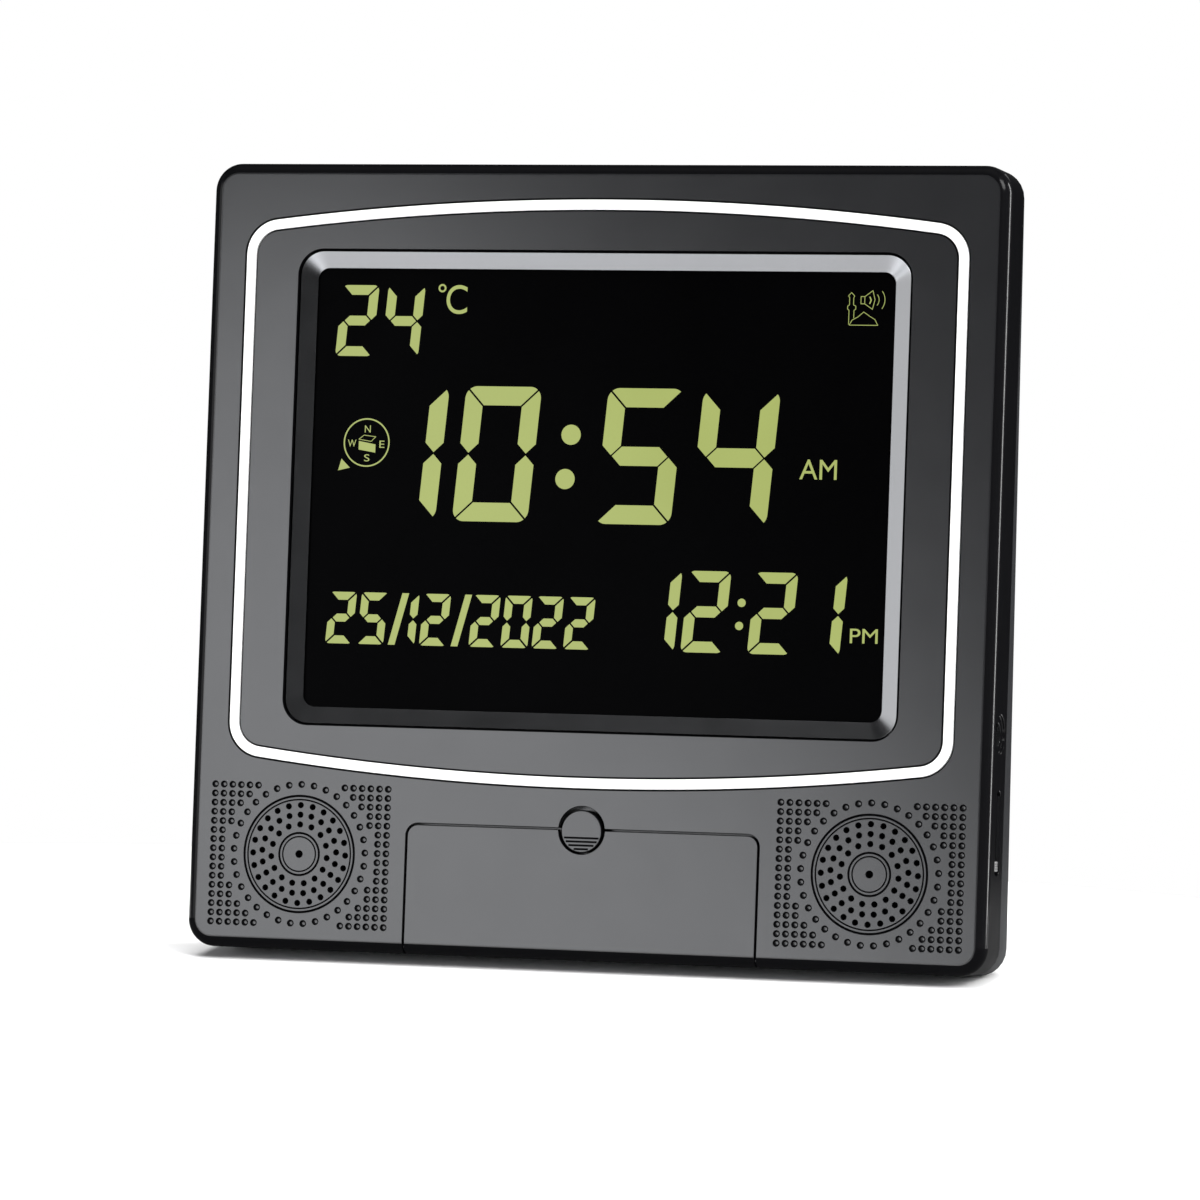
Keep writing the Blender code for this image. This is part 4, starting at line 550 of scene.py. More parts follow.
def grille_tools(side):
    """Everything that goes into the face of one grille, as one tool of many closed bodies."""
    centre = side * SPEAKER_X
    body = bmesh.new()

    def hole(x, z, radius, sides):
        rim = radius + RIM
        profile = [(rim, -OVER), (rim, 0), (radius, RIM), (radius, WALL + OVER)]
        skin(body, turned_rings(profile, sides, cx=x, cz=z))

    hole(centre, SPEAKER_Z, CENTRE_HOLE, 24)
    for share, count in HOLE_RINGS:
        for x, z in arc(centre, SPEAKER_Z, share * SPEAKER_RADIUS, math.pi / 2, 2.5 * math.pi, count)[:-1]:
            hole(x, z, HOLE_RADIUS, 20)
    for middle, half in GROOVES:
        section = [(middle + half, -OVER), (middle + half, 0), (middle, GROOVE_SLOPE * half),
                   (middle - half, 0), (middle - half, -OVER)]
        skin(body, turned_rings(section, 96, cx=centre, cz=SPEAKER_Z), closed=True)
    cup = [(DIMPLE_RADIUS, -OVER), (DIMPLE_RADIUS, 0)]
    cup += [(DIMPLE_RADIUS * (0.3 + 0.66 * math.cos(a)), DIMPLE_DEPTH * (0.15 + 0.85 * math.sin(a)))
            for a in (math.pi / 2 * i / ROUND_STEPS for i in range(ROUND_STEPS + 1))]
    places = arc(centre, SPEAKER_Z, DIMPLE_RING[0], math.pi / 2, 2.5 * math.pi, DIMPLE_RING[1])[:-1]
    rows = DIMPLE_ROWS + DIMPLE_ROWS[::-1]
    for row, count in enumerate(rows):
        z = SPEAKER_Z + (DIMPLE_LOW_ROW + row) * PITCH
        for column in range(count):
            reach = (DIMPLE_LIMIT - column) * PITCH
            places += [(centre - reach, z), (centre + reach, z)]
    for x, z in places:
        skin(body, turned_rings(cup, 18, cx=x, cz=z))
    return from_bmesh("grille_tools", body)


def key_places():
    for row in range(2):
        for column in range(3):
            yield KEY_X + (column - 1) * KEY_PITCH_X, KEY_Z + (0.5 - row) * KEY_PITCH_Z


def front_shell():
    rings = []
    for step in range(ROLL_STEPS + 1):
        angle = math.pi / 2 * step / ROLL_STEPS
        rings.append(at(case_outline(ROLL * (1 - math.sin(angle))), ROLL * (1 - math.cos(angle))))
    rings.append(at(case_outline(0), FRONT_DEPTH))
    rings.append(at(case_outline(WALL), FRONT_DEPTH))
    rings.append(at(case_outline(WALL), WALL))
    shell = loft("front_shell", rings)
    start = WALL / 2
    block = POCKET_HALF + POCKET_WALL
    add(shell, box("pocket", (-block, start, start),
                   (block, POCKET_DEPTH + POCKET_WALL, POCKET_TOP + POCKET_WALL)))
    boss = BUTTON_HOLE + POCKET_WALL
    add(shell, turned("boss", [(boss, start), (boss, BOSS_BACK)], 48, cz=DOOR_TOP))
    corner = DOOR_CORNER + DOOR_GAP
    rings = [at(door_outline(POCKET_HALF + out, WALL, POCKET_TOP + out, corner + out), depth)
             for out, depth in ((RIM, -OVER), (RIM, 0), (0, RIM), (0, POCKET_DEPTH))]
    cut(shell, loft("cavity", rings))
    sweep = DOOR_THICKNESS + math.hypot(ROLL + DOOR_LIP - DOOR_THICKNESS, DOOR_THICKNESS) + GAP
    cut(shell, box("gate", (-POCKET_HALF, -OVER, -OVER), (POCKET_HALF, sweep, WALL + DOOR_THICKNESS)))
    profile = [(BUTTON_HOLE + RIM, -OVER), (BUTTON_HOLE + RIM, 0), (BUTTON_HOLE, RIM),
               (BUTTON_HOLE, POCKET_DEPTH)]
    cut(shell, turned("hole", profile, 64, cz=DOOR_TOP))
    bore = STEM_RADIUS + GAP
    cut(shell, turned("guide", [(bore, POCKET_DEPTH - OVER), (bore, BOSS_BACK + OVER)], 24, cz=BUTTON_Z))
    rings = [at(display_outline(-out, DISPLAY_CORNER + out), depth)
             for out, depth in ((RIM, -OVER), (RIM, 0), (0, RIM), (0, WALL + OVER))]
    cut(shell, loft("opening", rings))
    section = [(-RIM, -OVER), (-RIM, 0), (0, RIM), (0, RING_GROOVE), (RING_WIDTH, RING_GROOVE),
               (RING_WIDTH, RIM), (RING_WIDTH + RIM, 0), (RING_WIDTH + RIM, -OVER)]
    cut(shell, loft("groove", [at(bowed(inset), depth) for inset, depth in section], closed=True))
    tools = bmesh.new()
    for x, z in key_places():
        left, right = x - KEY_WIDTH / 2 - GAP, x + KEY_WIDTH / 2 + GAP
        low, high = z - KEY_HEIGHT / 2 - GAP, z + KEY_HEIGHT / 2 + GAP
        outline = [(left, low), (right, low), (right, high), (left, high)]
        skin(tools, [at(outline, POCKET_DEPTH - OVER), at(outline, POCKET_DEPTH + POCKET_WALL + OVER)])
    for side in (-1, 1):
        ends = sorted((side * (POCKET_HALF - OVER), side * (block + OVER)))
        skin(tools, turned_rings([(PIN_RADIUS + GAP, ends[0]), (PIN_RADIUS + GAP, ends[1])], 20, axis="x",
                                 cy=DOOR_THICKNESS, cz=DOOR_THICKNESS))
    cut(shell, from_bmesh("pocket_tools", tools))
    cut_side(shell)
    cut(shell, grille_tools(-1), grille_tools(1))
    return shell


def cut_side(shell):
    """The socket in its dish and the tapered dish of the volume slider."""
    inner = HALF_WIDTH - WALL - OVER
    outer = HALF_WIDTH + OVER
    floor = HALF_WIDTH - JACK_DISH_DEPTH
    profile = [(JACK_HOLE, inner), (JACK_HOLE, floor - RIM), (JACK_HOLE + RIM, floor)]
    profile += [(JACK_DISH - 2 * RIM, floor), (JACK_DISH - RIM, floor + RIM), (JACK_DISH, HALF_WIDTH - RIM),
                (JACK_DISH + RIM, HALF_WIDTH), (JACK_DISH + RIM, outer)]
    cut(shell, turned("socket", profile, 64, axis="x", cy=JACK_Y, cz=JACK_Z))
    body = bmesh.new()
    rings = []
    steps = range(DISH_STEPS + 1)
    levels = [(HALF_WIDTH - SLIDER_DISH, 0), (HALF_WIDTH - RIM, 0), (HALF_WIDTH, RIM), (outer, RIM)]
    for depth, spread in levels:
        wide = SLIDER_WIDE / 2 + spread
        narrow = SLIDER_NARROW / 2 + spread
        low = SLIDER_LOW - spread + wide * DISH_FLATNESS
        high = SLIDER_LOW + SLIDER_LENGTH + spread - narrow * DISH_FLATNESS
        foot = [(SLIDER_Y + wide * math.cos(a), low + wide * DISH_FLATNESS * math.sin(a))
                for a in (math.pi + math.pi * i / DISH_STEPS for i in steps)]
        head = [(SLIDER_Y + narrow * math.cos(a), high + narrow * DISH_FLATNESS * math.sin(a))
                for a in (math.pi * i / DISH_STEPS for i in steps)]
        rings.append([(depth, y, z) for y, z in foot + head])
    skin(body, rings)
    cut(shell, from_bmesh("slider_dish", body))
    half = SLIDER_SLOT / 2
    cut(shell, box("slot", (inner, SLIDER_Y - half, SLIDER_LOW + SLIDER_END),
                   (outer, SLIDER_Y + half, SLIDER_LOW + SLIDER_LENGTH - SLIDER_END)))


UPRIGHT = CLOCK.inverted()
# Where edged lays painted shade: the band beyond the flat face, and the glossy darkened side rounds.
BAND_SPARE = 0.2 * MM
BAND = CORNER - SLIDER_DISH - BAND_SPARE
FACING = 0.985
GLOSS_START = 1.5 * CORNER
GLOSS_FORWARD = -0.08
GLOSS_SIDEWAYS = 0.17


def edged(piece):
    """Painted shade: outer walls, edge rounds, side dishes, the ring groove's floor and the walls of grooves,
    dimples and holes take a darker copy of the case plastic; the rounds at the two sides, above their lower
    corners, take a glossier darkened copy.
    """
    piece.data.materials.append(CASE_EDGE_PAINTED_SHADE)
    piece.data.materials.append(CASE_GLOSS_PAINTED_SHADE)
    for face in piece.data.polygons:
        middle = UPRIGHT @ face.center
        normal = UPRIGHT.to_3x3() @ face.normal
        across = max(abs(middle.x) - HALF_WIDTH + CORNER, 0)
        along = max(abs(middle.z - HEIGHT / 2) - HEIGHT / 2 + CORNER, 0)
        outside = math.hypot(across, along) > BAND
        if (outside or middle.y < WALL) and abs(normal.y) < FACING:
            face.material_index = 1
        # painted shade on the floor of the ring's groove, seen through the gap around the ring
        if abs(middle.y - RING_GROOVE) < NEAR:
            face.material_index = 1
        side = abs(middle.x) > HALF_WIDTH - ROLL and middle.z > GLOSS_START
        sideways = abs(normal.x) > GLOSS_SIDEWAYS and abs(normal.z) < abs(normal.x)
        if side and sideways and normal.y < GLOSS_FORWARD:
            face.material_index = 2


shell = shaded(front_shell())
place(shell, "clock", LOOKS["case_plastic"], ("front_housing",))
# Painted shade on the shell's edges, outer walls and recess walls.
edged(shell)

# Trim ring, display frame and window


def trim_ring():
    back = RING_GROOVE - GAP
    far = RING_WIDTH - RING_GAP
    turns = [math.pi / 2 * i / ROUND_STEPS for i in range(ROUND_STEPS + 1)]
    section = [(RING_GAP, back)]
    section += [(RING_GAP + RING_ROUND - RING_ROUND * math.cos(a),
                 RING_ROUND - RING_PROUD - RING_ROUND * math.sin(a)) for a in turns]
    section += [(far - RING_ROUND + RING_ROUND * math.sin(a),
                 RING_ROUND - RING_PROUD - RING_ROUND * math.cos(a)) for a in turns]
    section.append((far, back))
    return loft("ring", [at(bowed(inset), depth) for inset, depth in section], closed=True)


def display_frame():
    outer = BEZEL_GAP
    inner = BEZEL_GAP + BEZEL_WIDTH
    flange = BEZEL_GAP - BEZEL_FLANGE
    outer_radius = DISPLAY_CORNER - BEZEL_GAP
    rebate = WINDOW_CORNER + WINDOW_REBATE
    depth = BEZEL_RECESS + BEZEL_DROP
    lip = depth + BEZEL_LIP
    back = WINDOW_FRONT + WINDOW_THICKNESS
    soft = BEZEL_SOFT
    profile = [
        (outer, outer_radius, BEZEL_RECESS + BEZEL_EDGE_DROP),
        (outer + BEZEL_EDGE, outer_radius - BEZEL_EDGE, BEZEL_RECESS),
        (inner - soft, WINDOW_CORNER + soft, depth - soft * 0.2),
        (inner - soft * 0.2, WINDOW_CORNER + soft * 0.2, depth + soft * 0.1),
        (inner, WINDOW_CORNER, depth + soft),
        (inner, WINDOW_CORNER, lip),
        (inner - WINDOW_REBATE, rebate, lip),
        (inner - WINDOW_REBATE, rebate, back),
        (flange, outer_radius + BEZEL_FLANGE, back),
        (flange, outer_radius + BEZEL_FLANGE, WALL + GAP),
        (outer, outer_radius, WALL + GAP),
    ]
    return loft("frame", [at(display_outline(inset, radius), y) for inset, radius, y in profile], closed=True)


place(shaded(trim_ring()), "clock", LOOKS["trim_white"], ("trim_ring",)).name = "ring_trim"
bezel = shaded(display_frame(), 25.0)
place(bezel, "clock", LOOKS["bezel_satin"], ("display_bezel",))
# Painted shade: the frame's flange and back step, seen through the gap to the case, take the darker edge copy
# of the case plastic.
bezel.data.materials.append(CASE_EDGE_PAINTED_SHADE)
for face in bezel.data.polygons:
    middle = UPRIGHT @ face.center
    beyond = max(abs(middle.x) - DISPLAY_HALF, DISPLAY_LOW - middle.z, middle.z - DISPLAY_TOP)
    if beyond > NEAR - BEZEL_GAP:
        face.material_index = 1
pane_outline = display_outline(BEZEL_GAP + BEZEL_WIDTH - WINDOW_REBATE + GAP,
                               WINDOW_CORNER + WINDOW_REBATE - GAP)
pane = plate("pane", pane_outline, WINDOW_FRONT, WINDOW_FRONT + WINDOW_THICKNESS)
place(shaded(pane), "clock", LOOKS["window_black"], ("display_window",))

# Display segments. Places are counted in display units in the face plane, each pair from the left and from
# an upper edge, and carried along the line of sight to the window.

SEGMENT_DEPTH = WINDOW_FRONT - NEAR
SEGMENT_BACK = WINDOW_FRONT + 0.05 * MM
UNIT = 0.08852 * MM
GRID_X = -85.59 * MM
UPPER_Z = 203.05 * MM
LOWER_Z = 121.41 * MM
SLANT = 0.079
BAR_GAP = 6.2
BAR_SLOPE = 0.7
BAR_STEPS = 6
TURN_SHARE = 0.15
ICON_LINE = 2.2
CORE_LINE = 4
LIT = {"0": "abcdef", "1": "bc", "2": "abged", "4": "fgbc", "5": "afgcd"}
DIGIT_ROWS = (
    ("24", (31, 196), 38, 279, 132, 33, UPPER_Z),
    ("1054", (143, 470, 972, 1304), 376, 832, 267, 64, UPPER_Z),
    ("25", (33, 146), 157, 332, 95, 27, LOWER_Z),
    ("12", (257, 369), 157, 332, 95, 27, LOWER_Z),
    ("2022", (545, 658, 768, 879), 157, 332, 95, 27, LOWER_Z),
    ("1221", (1119, 1289, 1520, 1690), 60, 332, 147, 37, LOWER_Z),
)
DOTS = ((881, 535, 34, UPPER_Z), (865, 684, 34, UPPER_Z), (1496, 163, 14, LOWER_Z), (1490, 240, 14, LOWER_Z))
SLASH_LEFTS = (258, 482)
SLASH = ((0, 332), (24, 332), (70, 157), (46, 157))
DEGREE = (407, 46, 11, 6)
WORDS = (("C", 423, 497, 35, 133, UPPER_Z), ("AM", 1680, 1808, 605, 671, UPPER_Z),
         ("PM", 1872, 1967, 240, 288, LOWER_Z))
COMPASS = (156, 572, 80, 4.8)
COMPASS_LETTERS = (("N", 148, 169, 514, 538, UPPER_Z), ("E", 202, 220, 565, 589, UPPER_Z),
                   ("S", 149, 168, 612, 636, UPPER_Z), ("W", 89, 119, 563, 587, UPPER_Z))
CUBE_FRONT = ((128, 567), (188, 578), (188, 606), (128, 596))
CUBE_TOP = ((128, 561), (146, 547), (188, 552), (172, 568))
NEEDLE = ((68, 628), (99, 658), (57, 668))
DOME = ((1833, 157), (1931, 157), (1921, 138), (1904, 128), (1882, 113), (1862, 130), (1843, 140),
        (1833, 157))
TOWER = ((1831, 155), (1831, 108), (1826, 104), (1826, 94), (1832, 90), (1832, 66), (1828, 60), (1838, 49),
         (1849, 60), (1846, 66), (1846, 90), (1854, 94), (1854, 104), (1848, 108), (1848, 134))
HORN = ((1871, 62), (1884, 62), (1911, 42), (1919, 72), (1911, 104), (1884, 86), (1871, 86))
HORN_NECK = ((1884, 62), (1884, 86))
HORN_CORE = ((1901, 62), (1906, 74), (1901, 86))
WAVES = ((28, 0.7), (48, 0.65))
WAVE_CENTRE = (1905, 73)
WAVE_STEPS = 12


def segment_shapes(width, height, thick, radius, gap):
    """The seven bars of a digit, upright, from its lower left corner."""
    g = gap / 2
    middle = height / 2
    slope = gap * BAR_SLOPE
    turn = g / radius
    inner = width - thick
    half = thick / 2
    eighth = math.pi / 4
    top = [(inner - slope, height - thick), (thick + slope, height - thick)]
    top += arc(radius, height - radius, radius, 2 * eighth, 3 * eighth - turn, BAR_STEPS)[::-1]
    top += arc(width - radius, height - radius, radius, eighth + turn, 2 * eighth, BAR_STEPS)[::-1]
    side = [(inner, height - thick - slope)]
    side += arc(width - radius, height - radius, radius, 0, eighth - turn, BAR_STEPS)[::-1]
    side += [(width, middle + half + g), (width - half, middle + g), (inner, middle + half + g)]
    bar = [(half + slope, middle), (thick + slope, middle + half), (inner - slope, middle + half),
           (width - half - slope, middle), (inner - slope, middle - half), (thick + slope, middle - half)]

    def flip_x(points):
        return [(width - x, z) for x, z in points]

    def flip_z(points):
        return [(x, height - z) for x, z in points]

    return {"a": top, "b": side, "c": flip_z(side), "d": flip_z(top), "e": flip_x(flip_z(side)),
            "f": flip_x(side), "g": bar}


def digits(text, lefts, top, bottom, width, thick, origin):
    """Slanted digits whose places are counted in display units from an upper edge."""
    height = (bottom - top) * UNIT
    foot = origin - bottom * UNIT
    shapes = segment_shapes(width * UNIT, height, thick * UNIT, TURN_SHARE * width * UNIT, BAR_GAP * UNIT)
    found = []
    for character, left in zip(text, lefts):
        for bar in LIT[character]:
            found.append([(GRID_X + left * UNIT + x + SLANT * z, foot + z) for x, z in shapes[bar]])
    return found


def disc(x, y, radius, origin, sides=36):
    return arc(GRID_X + x * UNIT, origin - y * UNIT, radius * UNIT, 0, 2 * math.pi, sides)[:-1]


def path(points, origin):
    return [(GRID_X + x * UNIT, origin - y * UNIT) for x, y in points]


def stroke(points, width, origin, closed=False):
    """Bars of one width along a path, with round joints."""
    line = path(points, origin)
    if closed:
        line.append(line[0])
    half = width * UNIT / 2
    found = []
    for (ax, az), (bx, bz) in zip(line, line[1:]):
        length = math.hypot(bx - ax, bz - az)
        nx = (az - bz) / length * half
        nz = (bx - ax) / length * half
        found.append([(ax + nx, az + nz), (ax - nx, az - nz), (bx - nx, bz - nz), (bx + nx, bz + nz)])
    found += [arc(x, z, half, 0, 2 * math.pi, 8)[:-1] for x, z in (line if closed else line[1:-1])]
    return found


def band(x, y, radius, width, origin, start=0.0, stop=2 * math.pi, steps=48):
    """A ring or part of one, as quads."""
    cx = GRID_X + x * UNIT
    cz = origin - y * UNIT
    outer = arc(cx, cz, (radius + width / 2) * UNIT, start, stop, steps)
    inner = arc(cx, cz, (radius - width / 2) * UNIT, start, stop, steps)
    return [[outer[i], outer[i + 1], inner[i + 1], inner[i]] for i in range(steps)]


def lettering(text, left, right, top, bottom, origin):
    """Plain capitals stretched into a box of display units."""
    curve = bpy.data.curves.new("t", "FONT")
    curve.body = text
    holder = new_object("t", curve)
    bpy.context.view_layer.update()
    mesh = bpy.data.meshes.new_from_object(holder.evaluated_get(bpy.context.evaluated_depsgraph_get()))
    xs = [v.co.x for v in mesh.vertices]
    ys = [v.co.y for v in mesh.vertices]
    wide = (right - left) / (max(xs) - min(xs))
    tall = (bottom - top) / (max(ys) - min(ys))
    spots = [(left + (v.co.x - min(xs)) * wide, bottom - (v.co.y - min(ys)) * tall) for v in mesh.vertices]
    spots = path(spots, origin)
    found = [[spots[i] for i in face.vertices] for face in mesh.polygons]
    bpy.data.objects.remove(holder)
    return found


def display_content():
    shapes = []
    for row in DIGIT_ROWS:
        shapes += digits(*row)
    shapes += [disc(*dot) for dot in DOTS]
    for left in SLASH_LEFTS:
        shapes.append(path([(left + x, y) for x, y in SLASH], LOWER_Z))
    shapes += band(*DEGREE, UPPER_Z)
    for word in WORDS:
        shapes += lettering(*word)
    shapes += band(*COMPASS, UPPER_Z, steps=64)
    for letter in COMPASS_LETTERS:
        shapes += lettering(*letter)
    shapes.append(path(CUBE_FRONT, UPPER_Z))
    shapes += stroke(CUBE_TOP, ICON_LINE, UPPER_Z, closed=True)
    shapes.append(path(NEEDLE, UPPER_Z))
    shapes += stroke(DOME, ICON_LINE, UPPER_Z)
    shapes += stroke(TOWER, ICON_LINE, UPPER_Z)
    shapes += stroke(HORN, ICON_LINE, UPPER_Z, closed=True)
    shapes += stroke(HORN_NECK, ICON_LINE, UPPER_Z)
    shapes += stroke(HORN_CORE, CORE_LINE, UPPER_Z)
    for radius, reach in WAVES:
        shapes += band(*WAVE_CENTRE, radius, ICON_LINE, UPPER_Z, -reach, reach, WAVE_STEPS)
    return shapes


def on_window(x, z):
    """The place at the window that is seen at a place of the face plane."""
    share = (SEGMENT_DEPTH - EYE.y) / -EYE.y
    return EYE.x + (x - EYE.x) * share, EYE.z + (z - EYE.z) * share


def segments():
    """Everything that is lit, as thin plates at the window."""
    body = bmesh.new()
    for outline in display_content():
        area = sum(a[0] * b[1] - b[0] * a[1] for a, b in zip(outline, outline[1:] + outline[:1]))
        ordered = outline if area > 0 else list(reversed(outline))
        seen = [on_window(x, z) for x, z in ordered]
        skin(body, [at(seen, SEGMENT_DEPTH), at(seen, SEGMENT_BACK)])
    return from_bmesh("segments", body)


place(segments(), "clock", SEGMENT, ())

# Flap, round button and slider knob


def flap():
    quarter = math.pi / 2
    end = ROLL + DOOR_LIP
    profile = [(0, DOOR_TOP)] + arc(ROLL, ROLL, ROLL, -math.pi, -quarter, ROLL_STEPS)
    profile += [(end, 0), (end, DOOR_THICKNESS), (DOOR_THICKNESS, DOOR_THICKNESS), (DOOR_THICKNESS, DOOR_TOP)]
    half = DOOR_WIDTH / 2
    door = prism("flap_panel", profile, -half, half)
    for side in (-1, 1):
        inner = side * (half - DOOR_CORNER)
        low = DOOR_TOP - DOOR_CORNER
        reach = side * (POCKET_HALF + POCKET_WALL)
        outline = arc(inner, low, DOOR_CORNER, quarter, quarter - side * quarter, CORNER_STEPS)
        outline += [(reach, low), (reach, DOOR_TOP + OVER), (inner, DOOR_TOP + OVER)]
        cut(door, plate("corner", outline, -OVER, DOOR_THICKNESS + OVER))
    cut(door, turned("hole", [(BUTTON_HOLE, -OVER), (BUTTON_HOLE, DOOR_THICKNESS + OVER)], 64, cz=DOOR_TOP))
    softened(door, DOOR_SOFT)
    for side in (-1, 1):
        for radius, first, last in ((LUG_RADIUS, half - LUG_LENGTH, half - GAP),
                                    (PIN_RADIUS, half - LUG_LENGTH / 2, POCKET_HALF + PIN_REACH)):
            ends = sorted((side * first, side * last))
            add(door, turned("lug", [(radius, ends[0]), (radius, ends[1])], 20, axis="x", cy=DOOR_THICKNESS,
                             cz=DOOR_THICKNESS))
    return door


def button():
    front = BOSS_BACK + GAP
    soft = CAP_SOFT
    profile = [(BUTTON_RADIUS - soft - CAP_CROWN, 0), (BUTTON_RADIUS - soft, CAP_RISE)]
    profile += [(BUTTON_RADIUS - soft + soft * math.sin(a), soft - soft * math.cos(a))
                for a in (math.pi / 2 * i / ROUND_STEPS for i in range(1, ROUND_STEPS + 1))]
    profile += [(BUTTON_RADIUS, CAP_THICKNESS), (STEM_RADIUS, CAP_THICKNESS), (STEM_RADIUS, front),
                (COLLAR_RADIUS, front), (STEM_RADIUS, front + COLLAR_LENGTH)]
    cap = turned("cap", profile, 72, cz=BUTTON_Z)
    body = bmesh.new()
    for row in range(GRIP_COUNT):
        z = SPEAKER_Z + (GRIP_START - GRIP_PITCH * row) * PITCH
        reach = math.sqrt((BUTTON_RADIUS - GRIP_MARGIN) ** 2 - (z - BUTTON_Z) ** 2)
        outline = [(z - GRIP_HALF, -OVER), (z - GRIP_HALF, 0), (z, GRIP_DEPTH), (z + GRIP_HALF, 0),
                   (z + GRIP_HALF, -OVER)]
        skin(body, [[(x, y, height) for height, y in outline] for x in (-reach, reach)])
    cut(cap, from_bmesh("grips", body))
    return cap


def slider_knob():
    foot = HALF_WIDTH - SLIDER_DISH + GAP
    top = foot + KNOB_HEIGHT
    z = SLIDER_LOW + SLIDER_END + GAP + KNOB_LENGTH / 2
    low = (foot, SLIDER_Y - KNOB_WIDTH / 2, z - KNOB_LENGTH / 2)
    high = (top, SLIDER_Y + KNOB_WIDTH / 2, z + KNOB_LENGTH / 2)
    knob = softened(box("knob", low, high), KNOB_SOFT, 4)
    body = bmesh.new()
    for row in (-1, 0, 1):
        centre = z + row * KNURL_PITCH
        first = centre - KNURL_HALF
        last = centre + KNURL_HALF
        outline = [(top + OVER, first), (top, first), (top - KNURL_DEPTH, centre), (top, last),
                   (top + OVER, last)]
        skin(body, [[(x, y, height) for x, height in outline] for y in (low[1] - OVER, high[1] + OVER)])
    cut(knob, from_bmesh("knurl", body))
    neck = SLIDER_SLOT / 2 - GAP
    mouth = HALF_WIDTH - WALL - GAP
    add(knob, box("neck", (mouth - TRACK_DEPTH, SLIDER_Y - neck, low[2] + neck),
                  (top - KNOB_HEIGHT / 2, SLIDER_Y + neck, high[2] - neck)))
    return knob


# Painted shade on the flap's and button's edge rounds, walls and grooves.
edged(place(shaded(flap()), "flap", LOOKS["case_plastic"], ("front_door",)))
edged(place(shaded(button()), "push_button", LOOKS["case_plastic"], ("latch_button",)))
place(shaded(slider_knob()), "volume_knob", LOOKS["knob_pale"], ("volume_slider",))

# Rear and inner pieces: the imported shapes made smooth, most with a small round on every hard edge


def dressed(node, body, width, slot):
    """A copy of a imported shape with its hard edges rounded, where it has any, and its curves smooth."""
    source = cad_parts[node]
    mesh = source.data.copy()
    piece = new_object(node + "_finish", mesh)
    work = bmesh.new()
    work.from_mesh(mesh)
    bmesh.ops.remove_doubles(work, verts=work.verts, dist=WELD)
    bmesh.ops.dissolve_limit(work, angle_limit=math.radians(1.0), verts=work.verts, edges=work.edges)
    work.to_mesh(mesh)
    work.free()
    if width:
        softened(piece, width, 2, 40.0)
    return place(shaded(piece, 35.0), body, LOOKS[slot], (node,), Matrix.Identity(4))


dressed("rear_housing", "clock", REAR_SOFT, "rear_plastic")
dressed("stand_leg", "stand", LEG_SOFT, "rear_plastic")
dressed("stand_pad", "stand", PAD_SOFT, "rubber_black")
dressed("battery_cover", "battery_lid", COVER_SOFT, "rear_plastic")
for index in range(1, 7):
    dressed(f"key_{index}", f"setting_key_{index}", KEY_SOFT, "key_grey")
for index in range(1, 4):
    dressed(f"battery_{index}", "clock", 0, "cell_wrap")
for index in range(1, 5):
    dressed(f"battery_contact_{index}", "clock", 0, "contact_nickel")
    dressed(f"case_screw_{index}", "clock", 0, "screw_steel")
spring = dressed("latch_spring", "clock", 0, "screw_steel")
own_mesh(spring)

# Floor, light and camera

FLOOR_CENTRE = (-0.1, -0.56)
FLOOR_RADIUS = 0.75
FLOOR_SIDES = 96
SUN = ((0, 0.18, -1), 3.6, 45.0)
MIDDLE = (0, 0, 0.12)
SOFT_BLUE = (0.955, 0.97, 1.0)
BOXES = (
    ("left_box", (-0.335, -0.82, 0.15), MIDDLE, (0.38, 0.54), 3.15, 46.0),
    ("front_fill", (1.1, -1.0, 1.2), MIDDLE, (0.7, 0.7), 26.0, 0.0),
    ("far_left_box", (-1.0, -0.75, 0.35), MIDDLE, (0.6, 0.6), 2.4, 0.0),
    ("right_strip", (0.95, 0.35, 0.25), (0.12, 0, 0.12), (0.16, 0.9), 15.0, 0.0),
    ("rear_box", (0.3, 1.2, 1.0), MIDDLE, (0.8, 0.8), 3.0, 0.0),
)
LENS = 198.252
SENSOR_WIDTH = 36.0
CAMERA_PLACE = (0.588878, -1.869651, 0.326190)
CAMERA_RIGHT = Vector((0.95382933, 0.30012413, -0.01162404))
CAMERA_UP = Vector((-0.0222327, 0.10914785, 0.99377686))
CAMERA_BACK = Vector((0.29952516, -0.94763508, 0.11078099))

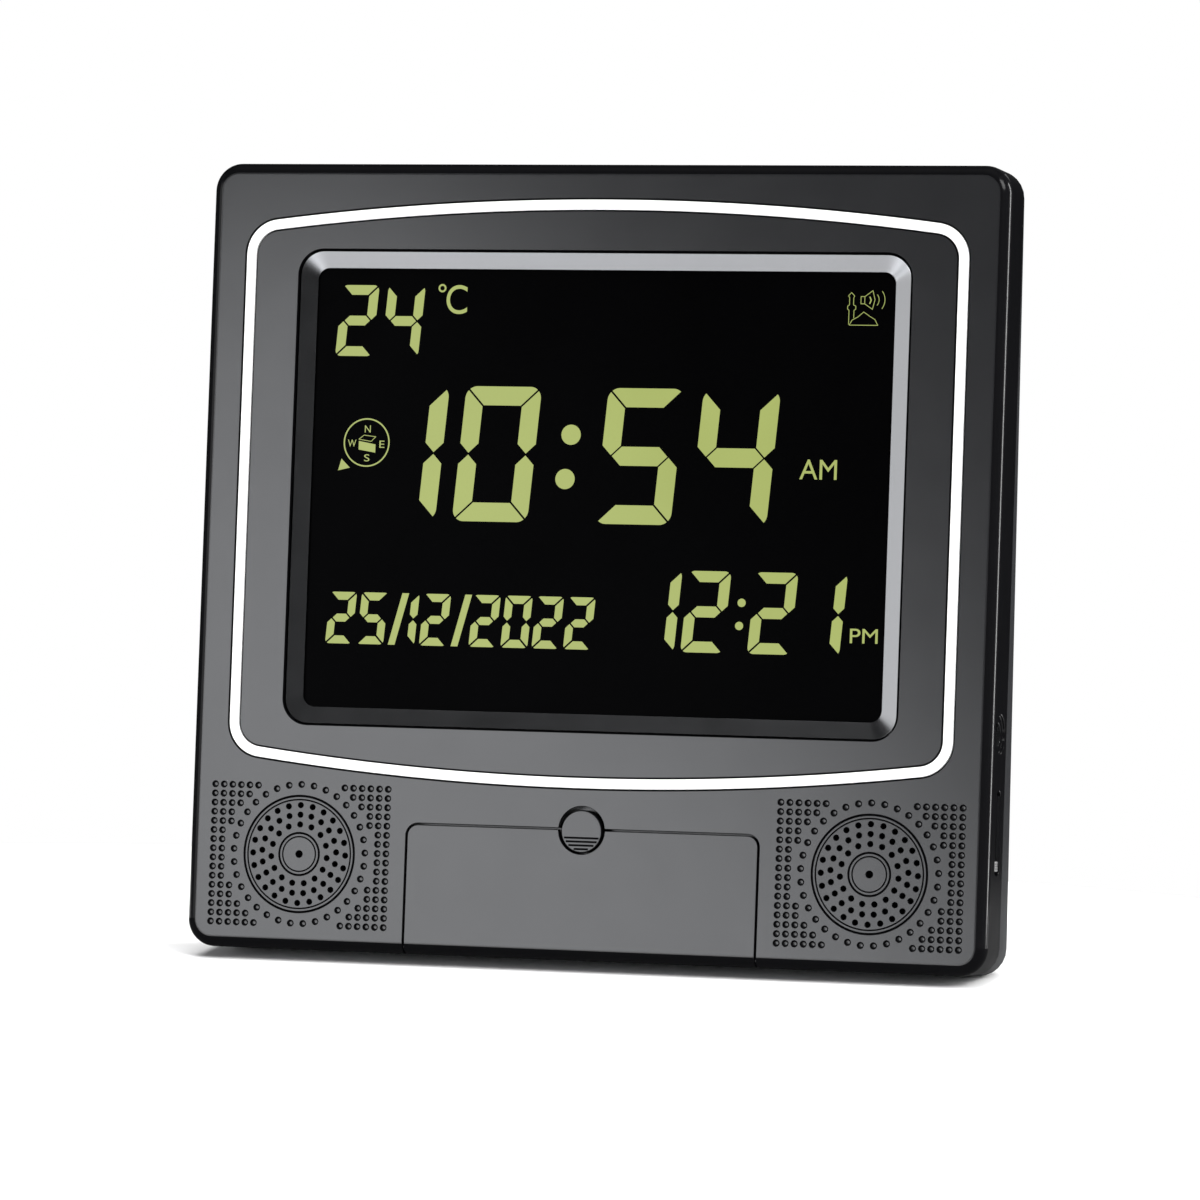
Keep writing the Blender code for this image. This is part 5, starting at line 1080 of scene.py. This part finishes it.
floor_net = Net("floor_paper")
floor_net.colour(floor_net.blend(floor_net.spread(floor_net.noise(3.0), 0.0, 1.0), (0.88, 0.88, 0.88),
                                 (0.91, 0.91, 0.91)))
floor_net.roughness(floor_net.spread(floor_net.noise(40.0), 0.85, 0.95))
floor_net.bump(floor_net.noise(400.0), 0.02, 0.1 * MM)
floor_net.fixed(Specular_IOR_Level=0.1)
sheet = bmesh.new()
rim = arc(*FLOOR_CENTRE, FLOOR_RADIUS, 0, 2 * math.pi, FLOOR_SIDES)[:-1]
sheet.faces.new([sheet.verts.new((x, y, 0)) for x, y in rim])
floor = from_bmesh("floor", sheet)
floor.data.materials.append(floor_net.material)


def world_light():
    world = bpy.data.worlds.new("studio")
    bpy.context.scene.world = world
    world.use_nodes = True
    nodes = world.node_tree.nodes
    links = world.node_tree.links
    output = nodes["World Output"]
    dim = nodes["Background"]
    dim.inputs["Color"].default_value = (0.95, 0.97, 1.0, 1)
    dim.inputs["Strength"].default_value = 0.02
    bright = nodes.new("ShaderNodeBackground")
    bright.inputs["Color"].default_value = (1, 1, 1, 1)
    bright.inputs["Strength"].default_value = 1.0
    rays = nodes.new("ShaderNodeLightPath")
    mix = nodes.new("ShaderNodeMixShader")
    links.new(rays.outputs["Is Camera Ray"], mix.inputs[0])
    links.new(dim.outputs[0], mix.inputs[1])
    links.new(bright.outputs[0], mix.inputs[2])
    links.new(mix.outputs[0], output.inputs["Surface"])


def area_light(name, place_at, aim, size, power, roll):
    data = bpy.data.lights.new(name, "AREA")
    data.shape = "RECTANGLE"
    data.size, data.size_y = size
    data.energy = power
    lamp = new_object(name, data)
    lamp.matrix_world = (Matrix.Translation(place_at)
                         @ (Vector(aim) - Vector(place_at)).to_track_quat("-Z", "Y").to_matrix().to_4x4()
                         @ Matrix.Rotation(math.radians(roll), 4, "Z"))


def sun_light(name, direction, strength, angle):
    data = bpy.data.lights.new(name, "SUN")
    data.energy = strength
    data.angle = math.radians(angle)
    lamp = new_object(name, data)
    lamp.rotation_euler = Vector(direction).to_track_quat("-Z", "Y").to_euler()


world_light()
sun_light("overhead", *SUN)
for lamp_values in BOXES:
    area_light(*lamp_values)
bpy.data.lights["left_box"].color = SOFT_BLUE

camera_data = bpy.data.cameras.new("camera")
camera_data.sensor_width = SENSOR_WIDTH
camera_data.lens = LENS
camera = new_object("camera", camera_data)
facing = Matrix((CAMERA_RIGHT, CAMERA_UP, CAMERA_BACK)).transposed().to_4x4()
camera.matrix_world = Matrix.Translation(CAMERA_PLACE) @ facing
bpy.context.scene.camera = camera
bpy.context.scene.view_settings.view_transform = "Standard"
